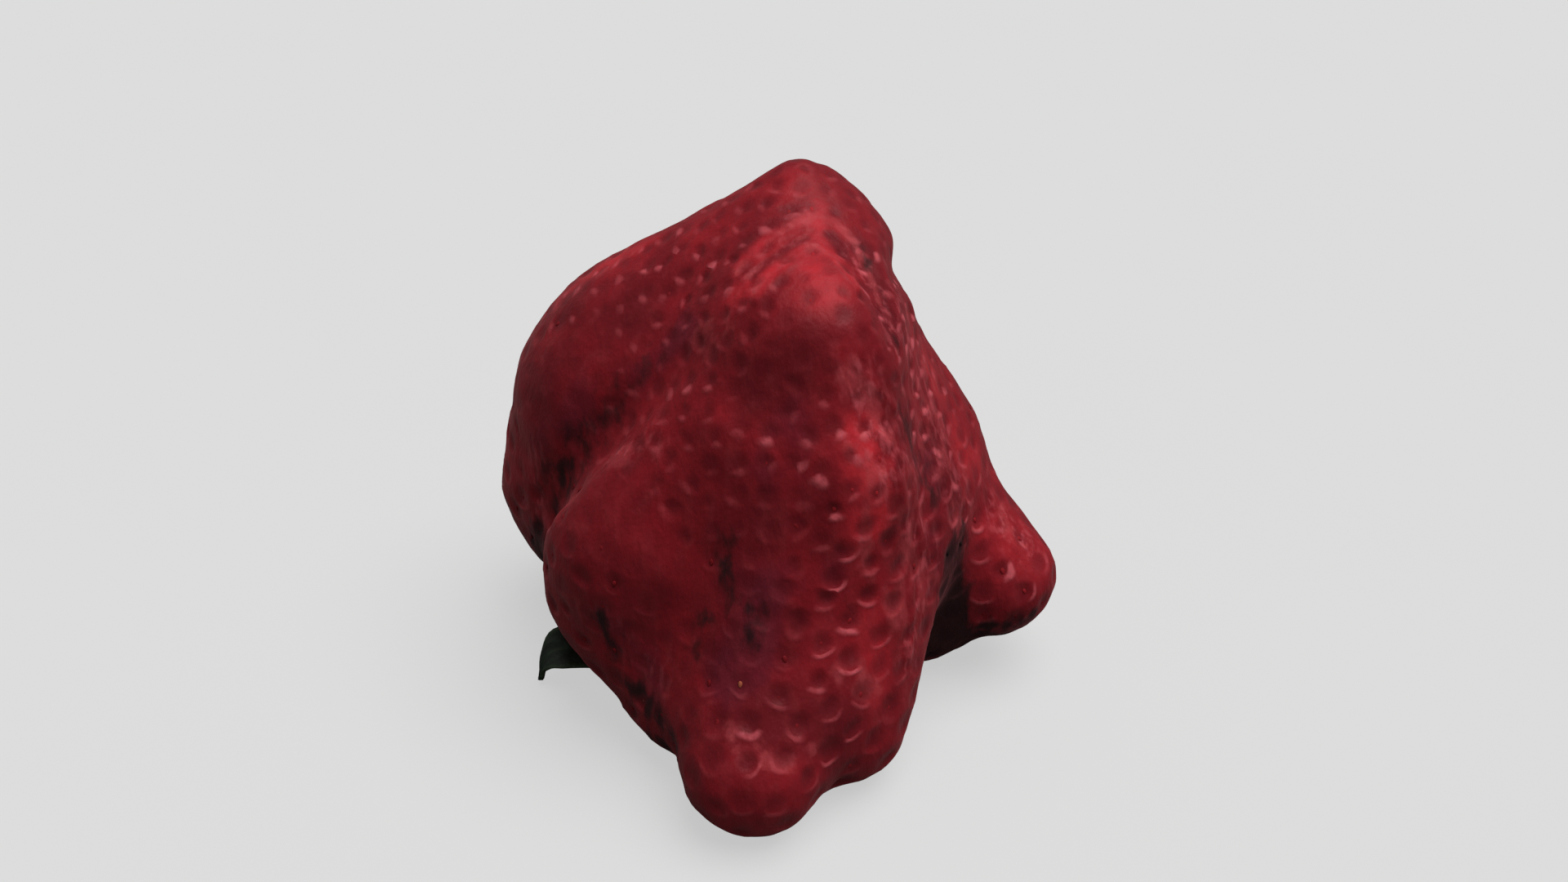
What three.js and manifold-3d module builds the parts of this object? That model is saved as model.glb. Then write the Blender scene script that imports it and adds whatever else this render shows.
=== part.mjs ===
// A lobed, cockscomb strawberry. It stands on its shoulder lobes with its blunt tip up, and its calyx and
// cut stalk are tucked into the hollow beneath. Millimetres, +Z up. The origin is the middle of the
// footprint, on the ground.

import * as THREE from 'three';
import { ConvexGeometry } from 'three/addons/geometries/ConvexGeometry.js';
import { mergeVertices } from 'three/addons/utils/BufferGeometryUtils.js';
import Module from 'manifold-3d';

const wasm = await Module();
wasm.setup();

// ---- driving dimensions ----

const HEART = new THREE.Vector3(0.7, 3.3, 18);      // the whole skin is in plain sight from this point inside
const SKIN_REACH = 48;                              // farther from the heart than any of the skin
const BLEND = 1.5;                                  // how softly lobes run into one another
const CALYX_SEAT = new THREE.Vector3(-0.8, 4.3, 8); // the skin over the calyx, with no achenes

const ACHENE_COUNT = 440;
const PIT_DEPTH = 0.8;
const ACHENE_HEIGHT = 0.4;
const PIT_FLOOR = 0.23;                             // from an achene's apex to its foot, as a share of the pitch
const SPREAD_STEPS = 60;
const SPREAD_REACH = 5.6;                           // achenes nearer than this push each other away
const SPREAD_PUSH = 0.65;                           // how far one such push moves an achene
const SKIN_SAMPLES = 9000;
const PROBE = 0.01;                                 // step for measuring the field's slope

const SEPAL_THICKNESS = 0.7;
const SEPAL_STATIONS = 9;
const SEPAL_GUTTER = 0.35;                          // how far a sepal's edges stand above its midrib
const STALK_SIDES = 10;

// Each lobe is a ball drawn down to another ball: [x, y, z, radius] of both.
const LOBES = [
  { name: 'tip', top: [1.9, 8.3, 44.4, 2.2], foot: [2.2, 4.3, 38.5, 6] },
  { name: 'comb', top: [2.1, 4.3, 38, 6.5], foot: [3.1, -1.9, 37.6, 5.6] },
  { name: 'core', top: [0.7, 4.3, 32, 9], foot: [0.7, 3.3, 20, 11] },
  { name: 'left slope', top: [1.9, 8.1, 44.6, 2.2], foot: [-10.5, 8.3, 28.2, 9.8] },
  { name: 'left swell', top: [-3.3, 8.3, 37.6, 4.8], foot: [-8.3, 8.7, 31.8, 7.9] },
  { name: 'left shoulder', top: [-13.2, 8.3, 25.3, 10.1], foot: [-15.6, 10.3, 16, 9.5] },
  { name: 'left shoulder foot', top: [-15.6, 10.3, 16, 9], foot: [-16.3, 13.3, 6.5, 7] },
  { name: 'left brow', top: [-0.3, -0.7, 34, 7], foot: [-8.8, -2.7, 20, 8.6] },
  { name: 'left cheek', top: [-11.3, -2.2, 17, 9], foot: [-11.7, -2.1, 13, 8.6] },
  { name: 'left cheek foot', top: [-9.3, -2.7, 12, 7], foot: [-7.1, -7.2, 6.5, 6.8] },
  { name: 'upper ridge', top: [3.7, -3.2, 37.4, 4.6], foot: [5.3, -7.3, 28, 4.2] },
  { name: 'lower ridge', top: [5.3, -7.3, 28, 4.2], foot: [6.1, -8.3, 17, 4.5] },
  { name: 'ridge foot', top: [8.2, -2.7, 17, 6.2], foot: [6.1, -11.5, 5.2, 5.2] },
  { name: 'front', top: [0.2, -3.7, 28, 8], foot: [0.2, -9.7, 10, 8.6] },
  { name: 'front foot', top: [-0.3, -9.7, 9, 8.3], foot: [-1.9, -17.5, 5.6, 5.8] },
  { name: 'right face', top: [4.7, 2.3, 34, 6], foot: [7.3, 0.8, 20, 9] },
  { name: 'back knob', top: [5.3, 8.8, 42, 2.6], foot: [6.1, 8.8, 40.6, 2.6] },
  { name: 'right edge', top: [4.7, 7.9, 37.4, 3.6], foot: [10.8, 7.9, 21.5, 6.5] },
  { name: 'right foot', top: [10.7, 7.3, 21, 6.6], foot: [12.7, 3.8, 6.5, 6.5] },
  { name: 'right horn', top: [12.7, 5.3, 15.6, 7], foot: [20.5, 2.7, 9.6, 5.4] },
  { name: 'back right foot', top: [4.7, 9.3, 36, 4], foot: [8.7, 14.3, 8, 8.5] },
  { name: 'back foot', top: [-0.3, 9.3, 36, 5], foot: [-4.3, 15.3, 9.5, 8] },
];

// Each crease runs through points on the skin: [x, y, z, depth].
const CREASES = [
  {
    name: 'between the left brow and the left shoulder', width: 2.2,
    points: [[-2.8, -5.7, 40.5, 0], [-7.8, -4.2, 36, 0.8], [-13.8, -3.2, 30, 1.5],
      [-17.8, -3.2, 25, 2.3], [-20.8, -0.7, 17, 2.3]],
  },
  {
    name: 'down the right of the comb', width: 1.8,
    points: [[5.2, 2.3, 46, 0], [7.2, -1.2, 43.5, 1.2], [8.2, -3.7, 41.5, 1.2], [10.2, -4.7, 37, 0]],
  },
  {
    name: 'under the back knob', width: 2,
    points: [[9.7, 2.3, 41.5, 0.6], [11.2, 6.3, 39, 1.2], [10.2, 10.3, 38, 0.6]],
  },
];

// Sepals and bracts run outwards from the calyx disc: their midrib, greatest width and sideways tilt.
const SEPALS = [
  {
    name: 'long left sepal', width: 4.8, tilt: 0.6, side: [-0.2, 1, 0],
    midrib: [[-1.6, 3.9, 6.3], [-6.3, 2.5, 3.4], [-11.3, 1.1, 2.4], [-16.3, -0.1, 3.2],
      [-20.5, -0.7, 4.3], [-22.2, -1.2, 3.8], [-22.8, -2, 1.3]],
  },
  {
    name: 'back sepal', width: 3.4, tilt: 0, side: [1, 0, 0],
    midrib: [[-0.8, 5.3, 6.4], [-0.8, 7, 4.9], [-1.1, 7.3, 3.1], [-1.5, 6.7, 1.4]],
  },
  {
    name: 'right sepal', width: 4, tilt: 0, side: [0, -1, 0],
    midrib: [[0.2, 4.1, 6.5], [2.9, 3.9, 5.6], [4.1, 3.7, 3.6], [3.9, 3.5, 1.4]],
  },
  {
    name: 'right front sepal', width: 3.2, tilt: 0, side: [-0.55, -0.83, 0],
    midrib: [[-0.1, 3.3, 6.2], [2.5, 0.7, 4.2], [5.1, -1, 3], [7.8, -2.2, 2.4], [10, -3.2, 2.2]],
  },
  {
    name: 'front sepal', width: 3.2, tilt: 0, side: [-1, 0, 0],
    midrib: [[-0.9, 3.1, 6.2], [-1.1, 1, 4.5], [-1.4, -0.1, 2.8], [-1.7, 0.3, 1.2]],
  },
  {
    name: 'left back bract', width: 2.8, tilt: 0, side: [0, 1, 0],
    midrib: [[-2, 4.9, 6.3], [-6.3, 5.6, 4.7], [-10.3, 5.8, 3.1], [-14, 5.6, 2.1], [-17.4, 5.2, 1.9]],
  },
  {
    name: 'back left bract', width: 2, tilt: 0, side: [0.7, 0.7, 0],
    midrib: [[-1.9, 5.4, 6.4], [-3.8, 6.7, 4.8], [-5.3, 7.5, 3.2], [-6.4, 7.3, 1.8]],
  },
  {
    name: 'back right bract', width: 2.2, tilt: 0, side: [0.7, -0.7, 0],
    midrib: [[0.1, 5, 6.5], [2, 6.7, 5.4], [3, 7.2, 3.6], [3, 6.7, 1.6]],
  },
];

// The calyx disc's half outline: [radius, height].
const DISC_OUTLINE = [[0, 5.8], [1.8, 5.9], [2.9, 6.2], [3.1, 6.7], [2.6, 7.1], [1.2, 7.3], [0, 7.3]];

// The stalk from the disc to its cut end: [x, y, z, radius].
const STALK = [
  [-0.8, 4.3, 5.4, 1.5], [-0.8, 4.2, 4.7, 1.15], [-0.5, 3.9, 3.4, 1.1], [0, 3.4, 2.1, 1.1], [0.4, 3, 1.1, 1.2],
];

// ---- shared shapes ----

const { lerp, smoothstep } = THREE.MathUtils;
const UP = new THREE.Vector3(0, 0, 1);
const vector = ([x, y, z]) => new THREE.Vector3(x, y, z);

function solidGeometry(positions, triangles) {
  const geometry = new THREE.BufferGeometry();
  geometry.setAttribute('position', new THREE.Float32BufferAttribute(positions.flatMap((p) => p.toArray()), 3));
  geometry.setIndex(triangles.flat());
  geometry.computeVertexNormals();
  return geometry;
}

// Closed skin over rings of points. Both faces of a flat ring are split along the same diagonals.
function loft(rings) {
  const sides = rings[0].length;
  const middle = (ring) => ring.reduce((sum, p) => sum.add(p), new THREE.Vector3()).divideScalar(sides);
  const positions = [...rings.flat(), middle(rings[0]), middle(rings[rings.length - 1])];
  const triangles = [];
  for (let side = 0; side < sides; side += 1) {
    const next = (side + 1) % sides;
    for (let row = 0; row + 1 < rings.length; row += 1) {
      const a = row * sides + side;
      const b = row * sides + next;
      const c = b + sides;
      const d = a + sides;
      const split = side < sides / 2 ? [[a, b, c], [a, c, d]] : [[a, b, d], [b, c, d]];
      triangles.push(...split);
    }
    const lastRow = (rings.length - 1) * sides;
    triangles.push([next, side, rings.length * sides]);
    triangles.push([lastRow + side, lastRow + next, rings.length * sides + 1]);
  }
  return solidGeometry(positions, triangles);
}

function toManifold(geometry) {
  const bare = geometry.clone();
  bare.deleteAttribute('normal');
  bare.deleteAttribute('uv');
  const merged = mergeVertices(bare);
  const vertProperties = new Float32Array(merged.attributes.position.array);
  const triVerts = new Uint32Array(merged.index.array);
  return new wasm.Manifold(new wasm.Mesh({ numProp: 3, vertProperties, triVerts }));
}

function toGeometry(manifold) {
  const mesh = manifold.getMesh();
  const geometry = new THREE.BufferGeometry();
  geometry.setAttribute('position', new THREE.BufferAttribute(mesh.vertProperties, mesh.numProp));
  geometry.setIndex(new THREE.BufferAttribute(mesh.triVerts, 1));
  geometry.computeVertexNormals();
  return geometry;
}

// ---- the fruit's smooth form ----

// How far a point is from a ball drawn down to another ball.
function lobeDistance({ top, foot }) {
  const start = vector(top);
  const axis = vector(foot).sub(start);
  const taper = top[3] - foot[3];
  const lengthSq = axis.lengthSq();
  const slantSq = lengthSq - taper * taper;
  const offset = new THREE.Vector3();
  return (point) => {
    offset.subVectors(point, start);
    const along = offset.dot(axis);
    const past = along - lengthSq;
    const acrossSq = offset.multiplyScalar(lengthSq).addScaledVector(axis, -along).lengthSq();
    const bound = Math.sign(taper) * taper * taper * acrossSq;
    if (Math.sign(past) * slantSq * past * past * lengthSq > bound) {
      return Math.sqrt(acrossSq + past * past * lengthSq) / lengthSq - foot[3];
    }
    if (Math.sign(along) * slantSq * along * along * lengthSq < bound) {
      return Math.sqrt(acrossSq + along * along * lengthSq) / lengthSq - top[3];
    }
    return (Math.sqrt(acrossSq * slantSq / lengthSq) + along * taper) / lengthSq - top[3];
  };
}

// A crease as a row of soft dents, about its own width apart.
function creaseDents({ width, points }) {
  const dents = [];
  for (let i = 0; i + 1 < points.length; i += 1) {
    const start = vector(points[i]);
    const end = vector(points[i + 1]);
    const length = start.distanceTo(end);
    const count = Math.ceil(length / width);
    for (let j = 0; j < count; j += 1) {
      const share = (j + 0.5) / count;
      const depth = lerp(points[i][3], points[i + 1][3], share);
      const strength = depth * length / (count * width * Math.sqrt(Math.PI));
      dents.push({ centre: start.clone().lerp(end, share), width, strength });
    }
  }
  return dents;
}

const lobeDistances = LOBES.map(lobeDistance);
const dents = CREASES.flatMap(creaseDents);

// Below zero inside the fruit, above zero outside.
function fruitField(point) {
  const sum = lobeDistances.reduce((total, distance) => total + Math.exp(-distance(point) / BLEND), 0);
  const dented = dents.reduce(
    (total, dent) => total + dent.strength * Math.exp(-point.distanceToSquared(dent.centre) / dent.width ** 2),
    0,
  );
  return Math.max(dented - BLEND * Math.log(sum), -point.z);
}

// The skin point that is seen from the heart along a unit direction.
function skinPoint(direction) {
  const point = new THREE.Vector3();
  let inside = 1;
  let outside = SKIN_REACH;
  for (let step = 0; step < 26; step += 1) {
    const middle = (inside + outside) / 2;
    point.copy(HEART).addScaledVector(direction, middle);
    if (fruitField(point) < 0) inside = middle;
    else outside = middle;
  }
  point.copy(HEART).addScaledVector(direction, inside);
  return point.z < 0.001 ? point.setZ(0) : point;
}

// Moves a point near the skin straight onto it.
function settle(point) {
  const slope = new THREE.Vector3();
  for (let step = 0; step < 3; step += 1) {
    for (const axis of ['x', 'y', 'z']) {
      const ahead = point.clone();
      const behind = point.clone();
      ahead[axis] += PROBE;
      behind[axis] -= PROBE;
      slope[axis] = (fruitField(ahead) - fruitField(behind)) / (2 * PROBE);
    }
    point.addScaledVector(slope, -fruitField(point) / slope.lengthSq());
  }
  return point.z < 0.001 ? point.setZ(0) : point;
}

function directionTo(point) {
  return point.clone().sub(HEART).normalize();
}

// ---- achenes and pits ----

// Points all over the skin, along a golden-angle spiral from the tip to the calyx.
function skinSamples() {
  const goldenAngle = Math.PI * (3 - Math.sqrt(5));
  return Array.from({ length: SKIN_SAMPLES }, (_, i) => {
    const height = 1 - (2 * i + 1) / SKIN_SAMPLES;
    const across = Math.sqrt(1 - height * height);
    const turn = i * goldenAngle;
    return skinPoint(new THREE.Vector3(across * Math.cos(turn), across * Math.sin(turn), height));
  });
}

// Each new achene takes the barest spot of skin.
function budSites() {
  const skin = skinSamples();
  const bareness = skin.map(() => Infinity);
  const sites = [];
  let next = 0;
  while (sites.length < ACHENE_COUNT) {
    const site = skin[next];
    sites.push(site);
    skin.forEach((point, i) => {
      bareness[i] = Math.min(bareness[i], point.distanceToSquared(site));
      if (bareness[i] > bareness[next]) next = i;
    });
  }
  return sites;
}

// Which way a site's neighbours push it, and how strongly.
function pushOn(site, sites) {
  const push = new THREE.Vector3();
  for (const other of sites) {
    const gap = site.distanceTo(other);
    if (gap === 0 || gap > SPREAD_REACH) continue;
    push.addScaledVector(site.clone().sub(other), (SPREAD_REACH - gap) / (SPREAD_REACH * gap));
  }
  return push;
}

// The buds push each other evenly apart as the skin grows.
function acheneSites() {
  let sites = budSites();
  for (let step = 0; step < SPREAD_STEPS; step += 1) {
    sites = sites.map((site) => settle(site.clone().addScaledVector(pushOn(site, sites), SPREAD_PUSH)));
  }
  return sites;
}

const edgeKey = (a, b) => (a < b ? `${a} ${b}` : `${b} ${a}`);

// The angle of a triangle at its corner, seen from the other two.
function cornerAngle(sites, corner, left, right) {
  return sites[left].clone().sub(sites[corner]).angleTo(sites[right].clone().sub(sites[corner]));
}

function facesOut(directions, [a, b, c]) {
  return directions[a].clone().cross(directions[b]).dot(directions[c]) > 0;
}

// One pass that swaps each diagonal for the better one. Returns how many it swapped.
function swapLongDiagonals(sites, directions, triangles) {
  const owners = new Map();
  triangles.forEach((corners, index) => {
    corners.forEach((corner, i) => {
      const key = edgeKey(corner, corners[(i + 1) % 3]);
      owners.set(key, [...(owners.get(key) ?? []), index]);
    });
  });
  const touched = new Set();
  let swaps = 0;
  for (const [key, [first, second]] of owners) {
    if (touched.has(first) || touched.has(second)) continue;
    const [a, b] = key.split(' ').map(Number);
    const c = triangles[first].find((corner) => corner !== a && corner !== b);
    const d = triangles[second].find((corner) => corner !== a && corner !== b);
    const facing = cornerAngle(sites, c, a, b) + cornerAngle(sites, d, a, b);
    if (facing < Math.PI + 0.01) continue;
    const ordered = facesOut(directions, [c, d, a]) ? [[c, d, a], [d, c, b]] : [[d, c, a], [c, d, b]];
    if (!ordered.every((corners) => facesOut(directions, corners))) continue;
    [triangles[first], triangles[second]] = ordered;
    touched.add(first).add(second);
    swaps += 1;
  }
  return swaps;
}

// Triangles between neighbouring sites, as a net over the whole fruit.
function siteNet(scattered) {
  const hull = new ConvexGeometry(scattered.map(directionTo));
  hull.deleteAttribute('normal');
  const merged = mergeVertices(hull, 1e-6);
  const spots = merged.attributes.position;
  const directions = [];
  for (let i = 0; i < spots.count; i += 1) {
    directions.push(new THREE.Vector3().fromBufferAttribute(spots, i).normalize());
  }
  const triangles = [];
  for (let i = 0; i < merged.index.count; i += 3) {
    const corners = [0, 1, 2].map((k) => merged.index.getX(i + k));
    triangles.push(facesOut(directions, corners) ? corners : corners.reverse());
  }
  const sites = directions.map(skinPoint);
  let passes = 0;
  while (passes < 20 && swapLongDiagonals(sites, directions, triangles) > 0) passes += 1;
  return { sites, triangles };
}

// How strongly the pits show: not where the fruit stands or under the calyx.
function reliefAt(point) {
  return smoothstep(point.z, 0.3, 2) * smoothstep(point.distanceTo(CALYX_SEAT), 4, 7);
}

// A skin point sunk by a depth. Sinking it towards the heart keeps the skin from folding over itself.
function sunkPoint(place, depth) {
  const point = skinPoint(directionTo(place));
  return point.addScaledVector(directionTo(point), -depth * reliefAt(point));
}

// The skin as a raised net of ridges, with a pit in each mesh of the net and an achene in each pit.
function fruitGeometry() {
  const { sites, triangles } = siteNet(acheneSites());
  const positions = sites.map((site) => sunkPoint(site, PIT_DEPTH - ACHENE_HEIGHT));
  const add = (point) => positions.push(point) - 1;
  const onEdge = new Map();
  const edgePoint = (a, b, share) => {
    const key = share === 0.5 ? edgeKey(a, b) : `${a} to ${b}`;
    if (!onEdge.has(key)) {
      const place = sites[a].clone().lerp(sites[b], share);
      onEdge.set(key, add(sunkPoint(place, share === 0.5 ? 0 : PIT_DEPTH)));
    }
    return onEdge.get(key);
  };
  const faces = [];
  for (const [a, b, c] of triangles) {
    const middle = sites[a].clone().add(sites[b]).add(sites[c]).divideScalar(3);
    const peak = add(sunkPoint(middle, 0));
    const rim = [[a, b], [b, c], [c, a]].flatMap(([from, to]) => [
      edgePoint(from, to, PIT_FLOOR), edgePoint(from, to, 0.5), edgePoint(to, from, PIT_FLOOR),
    ]);
    rim.forEach((spot, i) => faces.push([spot, rim[(i + 1) % rim.length], peak]));
    faces.push([a, rim[0], rim[8]], [b, rim[3], rim[2]], [c, rim[6], rim[5]]);
  }
  return solidGeometry(positions, faces);
}

// ---- calyx and stalk ----

// A sepal's half width along its length: a waist at the root, widest before the middle, and a narrow tip.
function sepalHalfWidth(share, width) {
  const shape = share < 0.45
    ? 0.6 + 0.4 * Math.sin(share / 0.45 * Math.PI / 2)
    : 1 - 0.9 * ((share - 0.45) / 0.55) ** 1.7;
  return shape * width / 2;
}

function sepalGeometry({ midrib, width, tilt, side }) {
  const curve = new THREE.CatmullRomCurve3(midrib.map(vector));
  const across = vector(side).addScaledVector(UP, tilt).normalize();
  const rings = [];
  for (let station = 0; station <= SEPAL_STATIONS; station += 1) {
    const share = station / SEPAL_STATIONS;
    const centre = curve.getPointAt(share);
    const outward = new THREE.Vector3().crossVectors(across, curve.getTangentAt(share)).normalize();
    const half = sepalHalfWidth(share, width);
    const face = (places, lift) => places.map((place) => centre.clone()
      .addScaledVector(across, place * half)
      .addScaledVector(outward, lift + SEPAL_GUTTER * Math.abs(place) * half * 2 / width));
    const places = [-1, -0.5, 0, 0.5, 1];
    rings.push([
      ...face(places, SEPAL_THICKNESS / 2),
      ...face([...places].reverse(), -SEPAL_THICKNESS / 2),
    ]);
  }
  return loft(rings);
}

function discGeometry() {
  const disc = new THREE.LatheGeometry(DISC_OUTLINE.map(([radius, height]) => new THREE.Vector2(radius, height)), 20);
  return disc.rotateX(Math.PI / 2).translate(CALYX_SEAT.x, CALYX_SEAT.y, 0);
}

function calyxGeometry() {
  const blades = SEPALS.map((sepal) => toManifold(sepalGeometry(sepal)));
  const calyx = blades.reduce((whole, blade) => whole.add(blade), toManifold(discGeometry()));
  return toGeometry(calyx);
}

function stalkGeometry() {
  const centres = STALK.map(vector);
  const path = new THREE.CatmullRomCurve3(centres);
  const rings = STALK.map(([, , , radius], i) => {
    const tangent = path.getTangent(i / (STALK.length - 1));
    const turn = new THREE.Quaternion().setFromUnitVectors(UP.clone().negate(), tangent);
    return Array.from({ length: STALK_SIDES }, (_, side) => {
      const angle = -2 * Math.PI * side / STALK_SIDES;
      const spoke = new THREE.Vector3(Math.cos(angle), Math.sin(angle), 0).multiplyScalar(radius);
      return spoke.applyQuaternion(turn).add(centres[i]);
    });
  });
  return loft(rings);
}

// ---- the part ----

const flesh = new THREE.MeshStandardMaterial({ color: 0x8c1f28, roughness: 0.42, metalness: 0 });
const sepalGreen = new THREE.MeshStandardMaterial({ color: 0x26391f, roughness: 0.7, metalness: 0 });
const stalkGreen = new THREE.MeshStandardMaterial({ color: 0x5a6b32, roughness: 0.65, metalness: 0 });

function piece(name, geometry, material) {
  const mesh = new THREE.Mesh(geometry, material);
  mesh.name = name;
  return mesh;
}

const strawberry = new THREE.Group();
strawberry.add(piece('fruit', fruitGeometry(), flesh));
strawberry.add(piece('calyx', calyxGeometry(), sepalGreen));
strawberry.add(piece('stalk', stalkGeometry(), stalkGreen));

export default strawberry;
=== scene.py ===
"""A lobed strawberry that stands on its shoulders: fruit, achenes, calyx and stalk, on a plain studio stage.

The tables give millimetres, and MM turns them into metres. The frame is the part's own: +Z up, -Y towards
the camera, and the origin on the ground in the middle of the footprint."""

import math

import bmesh
import bpy
import numpy as np
from mathutils import Matrix, Vector, kdtree, noise


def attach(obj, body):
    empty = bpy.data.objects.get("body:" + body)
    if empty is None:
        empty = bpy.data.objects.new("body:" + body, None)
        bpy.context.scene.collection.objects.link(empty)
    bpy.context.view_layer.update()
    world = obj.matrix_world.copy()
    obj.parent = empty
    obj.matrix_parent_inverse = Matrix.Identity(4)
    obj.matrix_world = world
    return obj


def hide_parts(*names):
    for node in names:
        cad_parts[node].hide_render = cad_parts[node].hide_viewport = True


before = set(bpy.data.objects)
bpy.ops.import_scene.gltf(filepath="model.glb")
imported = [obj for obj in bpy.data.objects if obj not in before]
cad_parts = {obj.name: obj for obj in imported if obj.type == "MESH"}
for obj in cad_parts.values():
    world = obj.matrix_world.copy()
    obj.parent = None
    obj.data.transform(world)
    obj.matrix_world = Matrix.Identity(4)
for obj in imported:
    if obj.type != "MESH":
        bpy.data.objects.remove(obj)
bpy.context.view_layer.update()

bl_info = {
    "name": "Lobed strawberry",
    "version": (1, 0, 0),
    "blender": (4, 5, 0),
    "location": "3D Viewport > Sidebar > Strawberry",
    "description": "Builds a lobed strawberry with its achenes, calyx and stalk, and a plain studio stage",
    "category": "Add Mesh",
}

MM = 0.001
UP = np.array([0.0, 0.0, 1.0])
BODY = "root"

# ---- the fruit's form ----

HEART = np.array([0.7, 3.3, 18]) * MM        # the whole skin is in plain sight from this point inside
TIP = np.array([2, 7, 50]) * MM              # the skin grows away from here
CALYX_SEAT = np.array([-0.8, 4.3, 8]) * MM   # the skin over the calyx, with no achenes
SKIN_REACH = 48 * MM                         # farther from the heart than any of the skin
BLEND = 1.5 * MM                             # how softly lobes run into one another
PROBE = 0.01 * MM                            # step for measuring the field's slope
BISECTIONS = 26                              # halvings that find the skin from the heart
SETTLE_STEPS = 3                             # and steps that bring a point near the skin onto it
GROUNDED = 0.001 * MM                        # skin as near the ground as this is put on it
CURVE_STEPS = 40                             # points worked out between two given points of a curve

# Each lobe is a ball drawn down to another ball: [x, y, z, radius] of both.
LOBES = {
    "tip": ([1.9, 8.3, 44.4, 2.2], [2.2, 4.3, 38.5, 6]),
    "comb": ([2.1, 4.3, 38, 6.5], [3.1, -1.9, 37.6, 5.6]),
    "core": ([0.7, 4.3, 32, 9], [0.7, 3.3, 20, 11]),
    "left slope": ([1.9, 8.1, 44.6, 2.2], [-10.5, 8.3, 28.2, 9.8]),
    "left swell": ([-3.3, 8.3, 37.6, 4.8], [-8.3, 8.7, 31.8, 7.9]),
    "left shoulder": ([-13.2, 8.3, 25.3, 10.1], [-15.6, 10.3, 16, 9.5]),
    "left shoulder foot": ([-15.6, 10.3, 16, 9], [-16.3, 13.3, 6.5, 7]),
    "left brow": ([-0.3, -0.7, 34, 7], [-8.8, -2.7, 20, 8.6]),
    "left cheek": ([-11.3, -2.2, 17, 9], [-11.7, -2.1, 13, 8.6]),
    "left cheek foot": ([-9.3, -2.7, 12, 7], [-7.1, -7.2, 6.5, 6.8]),
    "upper ridge": ([3.7, -3.2, 37.4, 4.6], [5.3, -7.3, 28, 4.2]),
    "lower ridge": ([5.3, -7.3, 28, 4.2], [6.1, -8.3, 17, 4.5]),
    "ridge foot": ([8.2, -2.7, 17, 6.2], [6.1, -11.5, 5.2, 5.2]),
    "front": ([0.2, -3.7, 28, 8], [0.2, -9.7, 10, 8.6]),
    "front foot": ([-0.3, -9.7, 9, 8.3], [-1.9, -17.5, 5.6, 5.8]),
    "right face": ([4.7, 2.3, 34, 6], [7.3, 0.8, 20, 9]),
    "back knob": ([5.3, 8.8, 42, 2.6], [6.1, 8.8, 40.6, 2.6]),
    "right edge": ([4.7, 7.9, 37.4, 3.6], [10.8, 7.9, 21.5, 6.5]),
    "right foot": ([10.7, 7.3, 21, 6.6], [12.7, 3.8, 6.5, 6.5]),
    "right horn": ([12.7, 5.3, 15.6, 7], [20.5, 2.7, 9.6, 5.4]),
    "back right foot": ([4.7, 9.3, 36, 4], [8.7, 14.3, 8, 8.5]),
    "back foot": ([-0.3, 9.3, 36, 5], [-4.3, 15.3, 9.5, 8]),
}

# Each crease runs through points on the skin, [x, y, z, depth], at its width.
CREASES = {
    "between the left brow and the left shoulder": (2.2, [
        [-2.8, -5.7, 40.5, 0], [-7.8, -4.2, 36, 0.8], [-13.8, -3.2, 30, 1.5],
        [-17.8, -3.2, 25, 2.3], [-20.8, -0.7, 17, 2.3]]),
    "down the right of the comb": (1.8, [
        [5.2, 2.3, 46, 0], [7.2, -1.2, 43.5, 1.2], [8.2, -3.7, 41.5, 1.2], [10.2, -4.7, 37, 0]]),
    "under the back knob": (2, [[9.7, 2.3, 41.5, 0.6], [11.2, 6.3, 39, 1.2], [10.2, 10.3, 38, 0.6]]),
}

# ---- achenes and pits ----

SEED = 7

# Where the achenes sit.
SKIN_SAMPLES = 16000             # spots of skin where an achene may bud
SPREAD_STEPS = 12                # then the achenes push each other apart, this many times
SPREAD_REACH = 4.2 * MM          # achenes nearer than this push each other away
SPREAD_PUSH = 0.45 * MM          # how far one such push moves an achene
PITCH_AT_FOOT = 1.2              # the achenes' spacing low on the fruit and at its tip, against the mean
PITCH_AT_TIP = 0.78
TIP_HEIGHT = 47.8 * MM
NEIGHBOURS = 6                   # an achene's spacing is its mean distance to this many others
SKIN_CUTS = 9                    # new points along each edge between two achenes

# Where the skin is plain.
FOOTING_FROM = 0.3 * MM          # below this height, where the fruit stands
PITS_FROM = 2 * MM               # the pits have their full depth above this height
LUMPS_FROM = 3 * MM              # and the lumps their full height above this one
LUMP_SIZE = 5 * MM
SEAT_RADIUS = 4 * MM             # as near the calyx's seat as this
SEAT_EDGE = 7 * MM               # the pits have their full depth this far from it

# The pits. A share is of a full pit's depth or of a pit's own radius.
PIT_DEPTHS = (0.45, 1.15)        # the least and greatest depth
PIT_SHALLOW = 0.55               # and how shallow whole areas of pits are
UNEVEN_SIZE = 7 * MM             # the size of such areas
UNEVEN_EDGE = 0.35               # how wide their edges are, as a share of the noise that lays them out
PIT_RADII = (0.78, 1.08)         # the least and greatest radius
PIT_REACH = 1.08                 # how far a pit reaches across the slope
PIT_SLIDE = 0.22                 # and how much farther uphill, and less downhill
PIT_WANDER = 0.34 * MM           # how far a pit's outline strays from round
PIT_WANDER_SIZE = 1.6 * MM       # and over what length
PIT_TURN = 0.45                  # how far a pit's lip strays from straight downhill, radians
LIP_AT = 1.02                    # how far out the lip stands, and its width
LIP_WIDTH = 0.24
LIP_BEGINS = 0.25                # the lip rises fully between these leans, where 1 is straight downhill
LIP_FULL = 0.95
LIP_ELSEWHERE = 0.4              # and this much round the rest of the pit
SOFT_FROM = 20 * MM              # pits are crisp below this height and soft above the next
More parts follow.
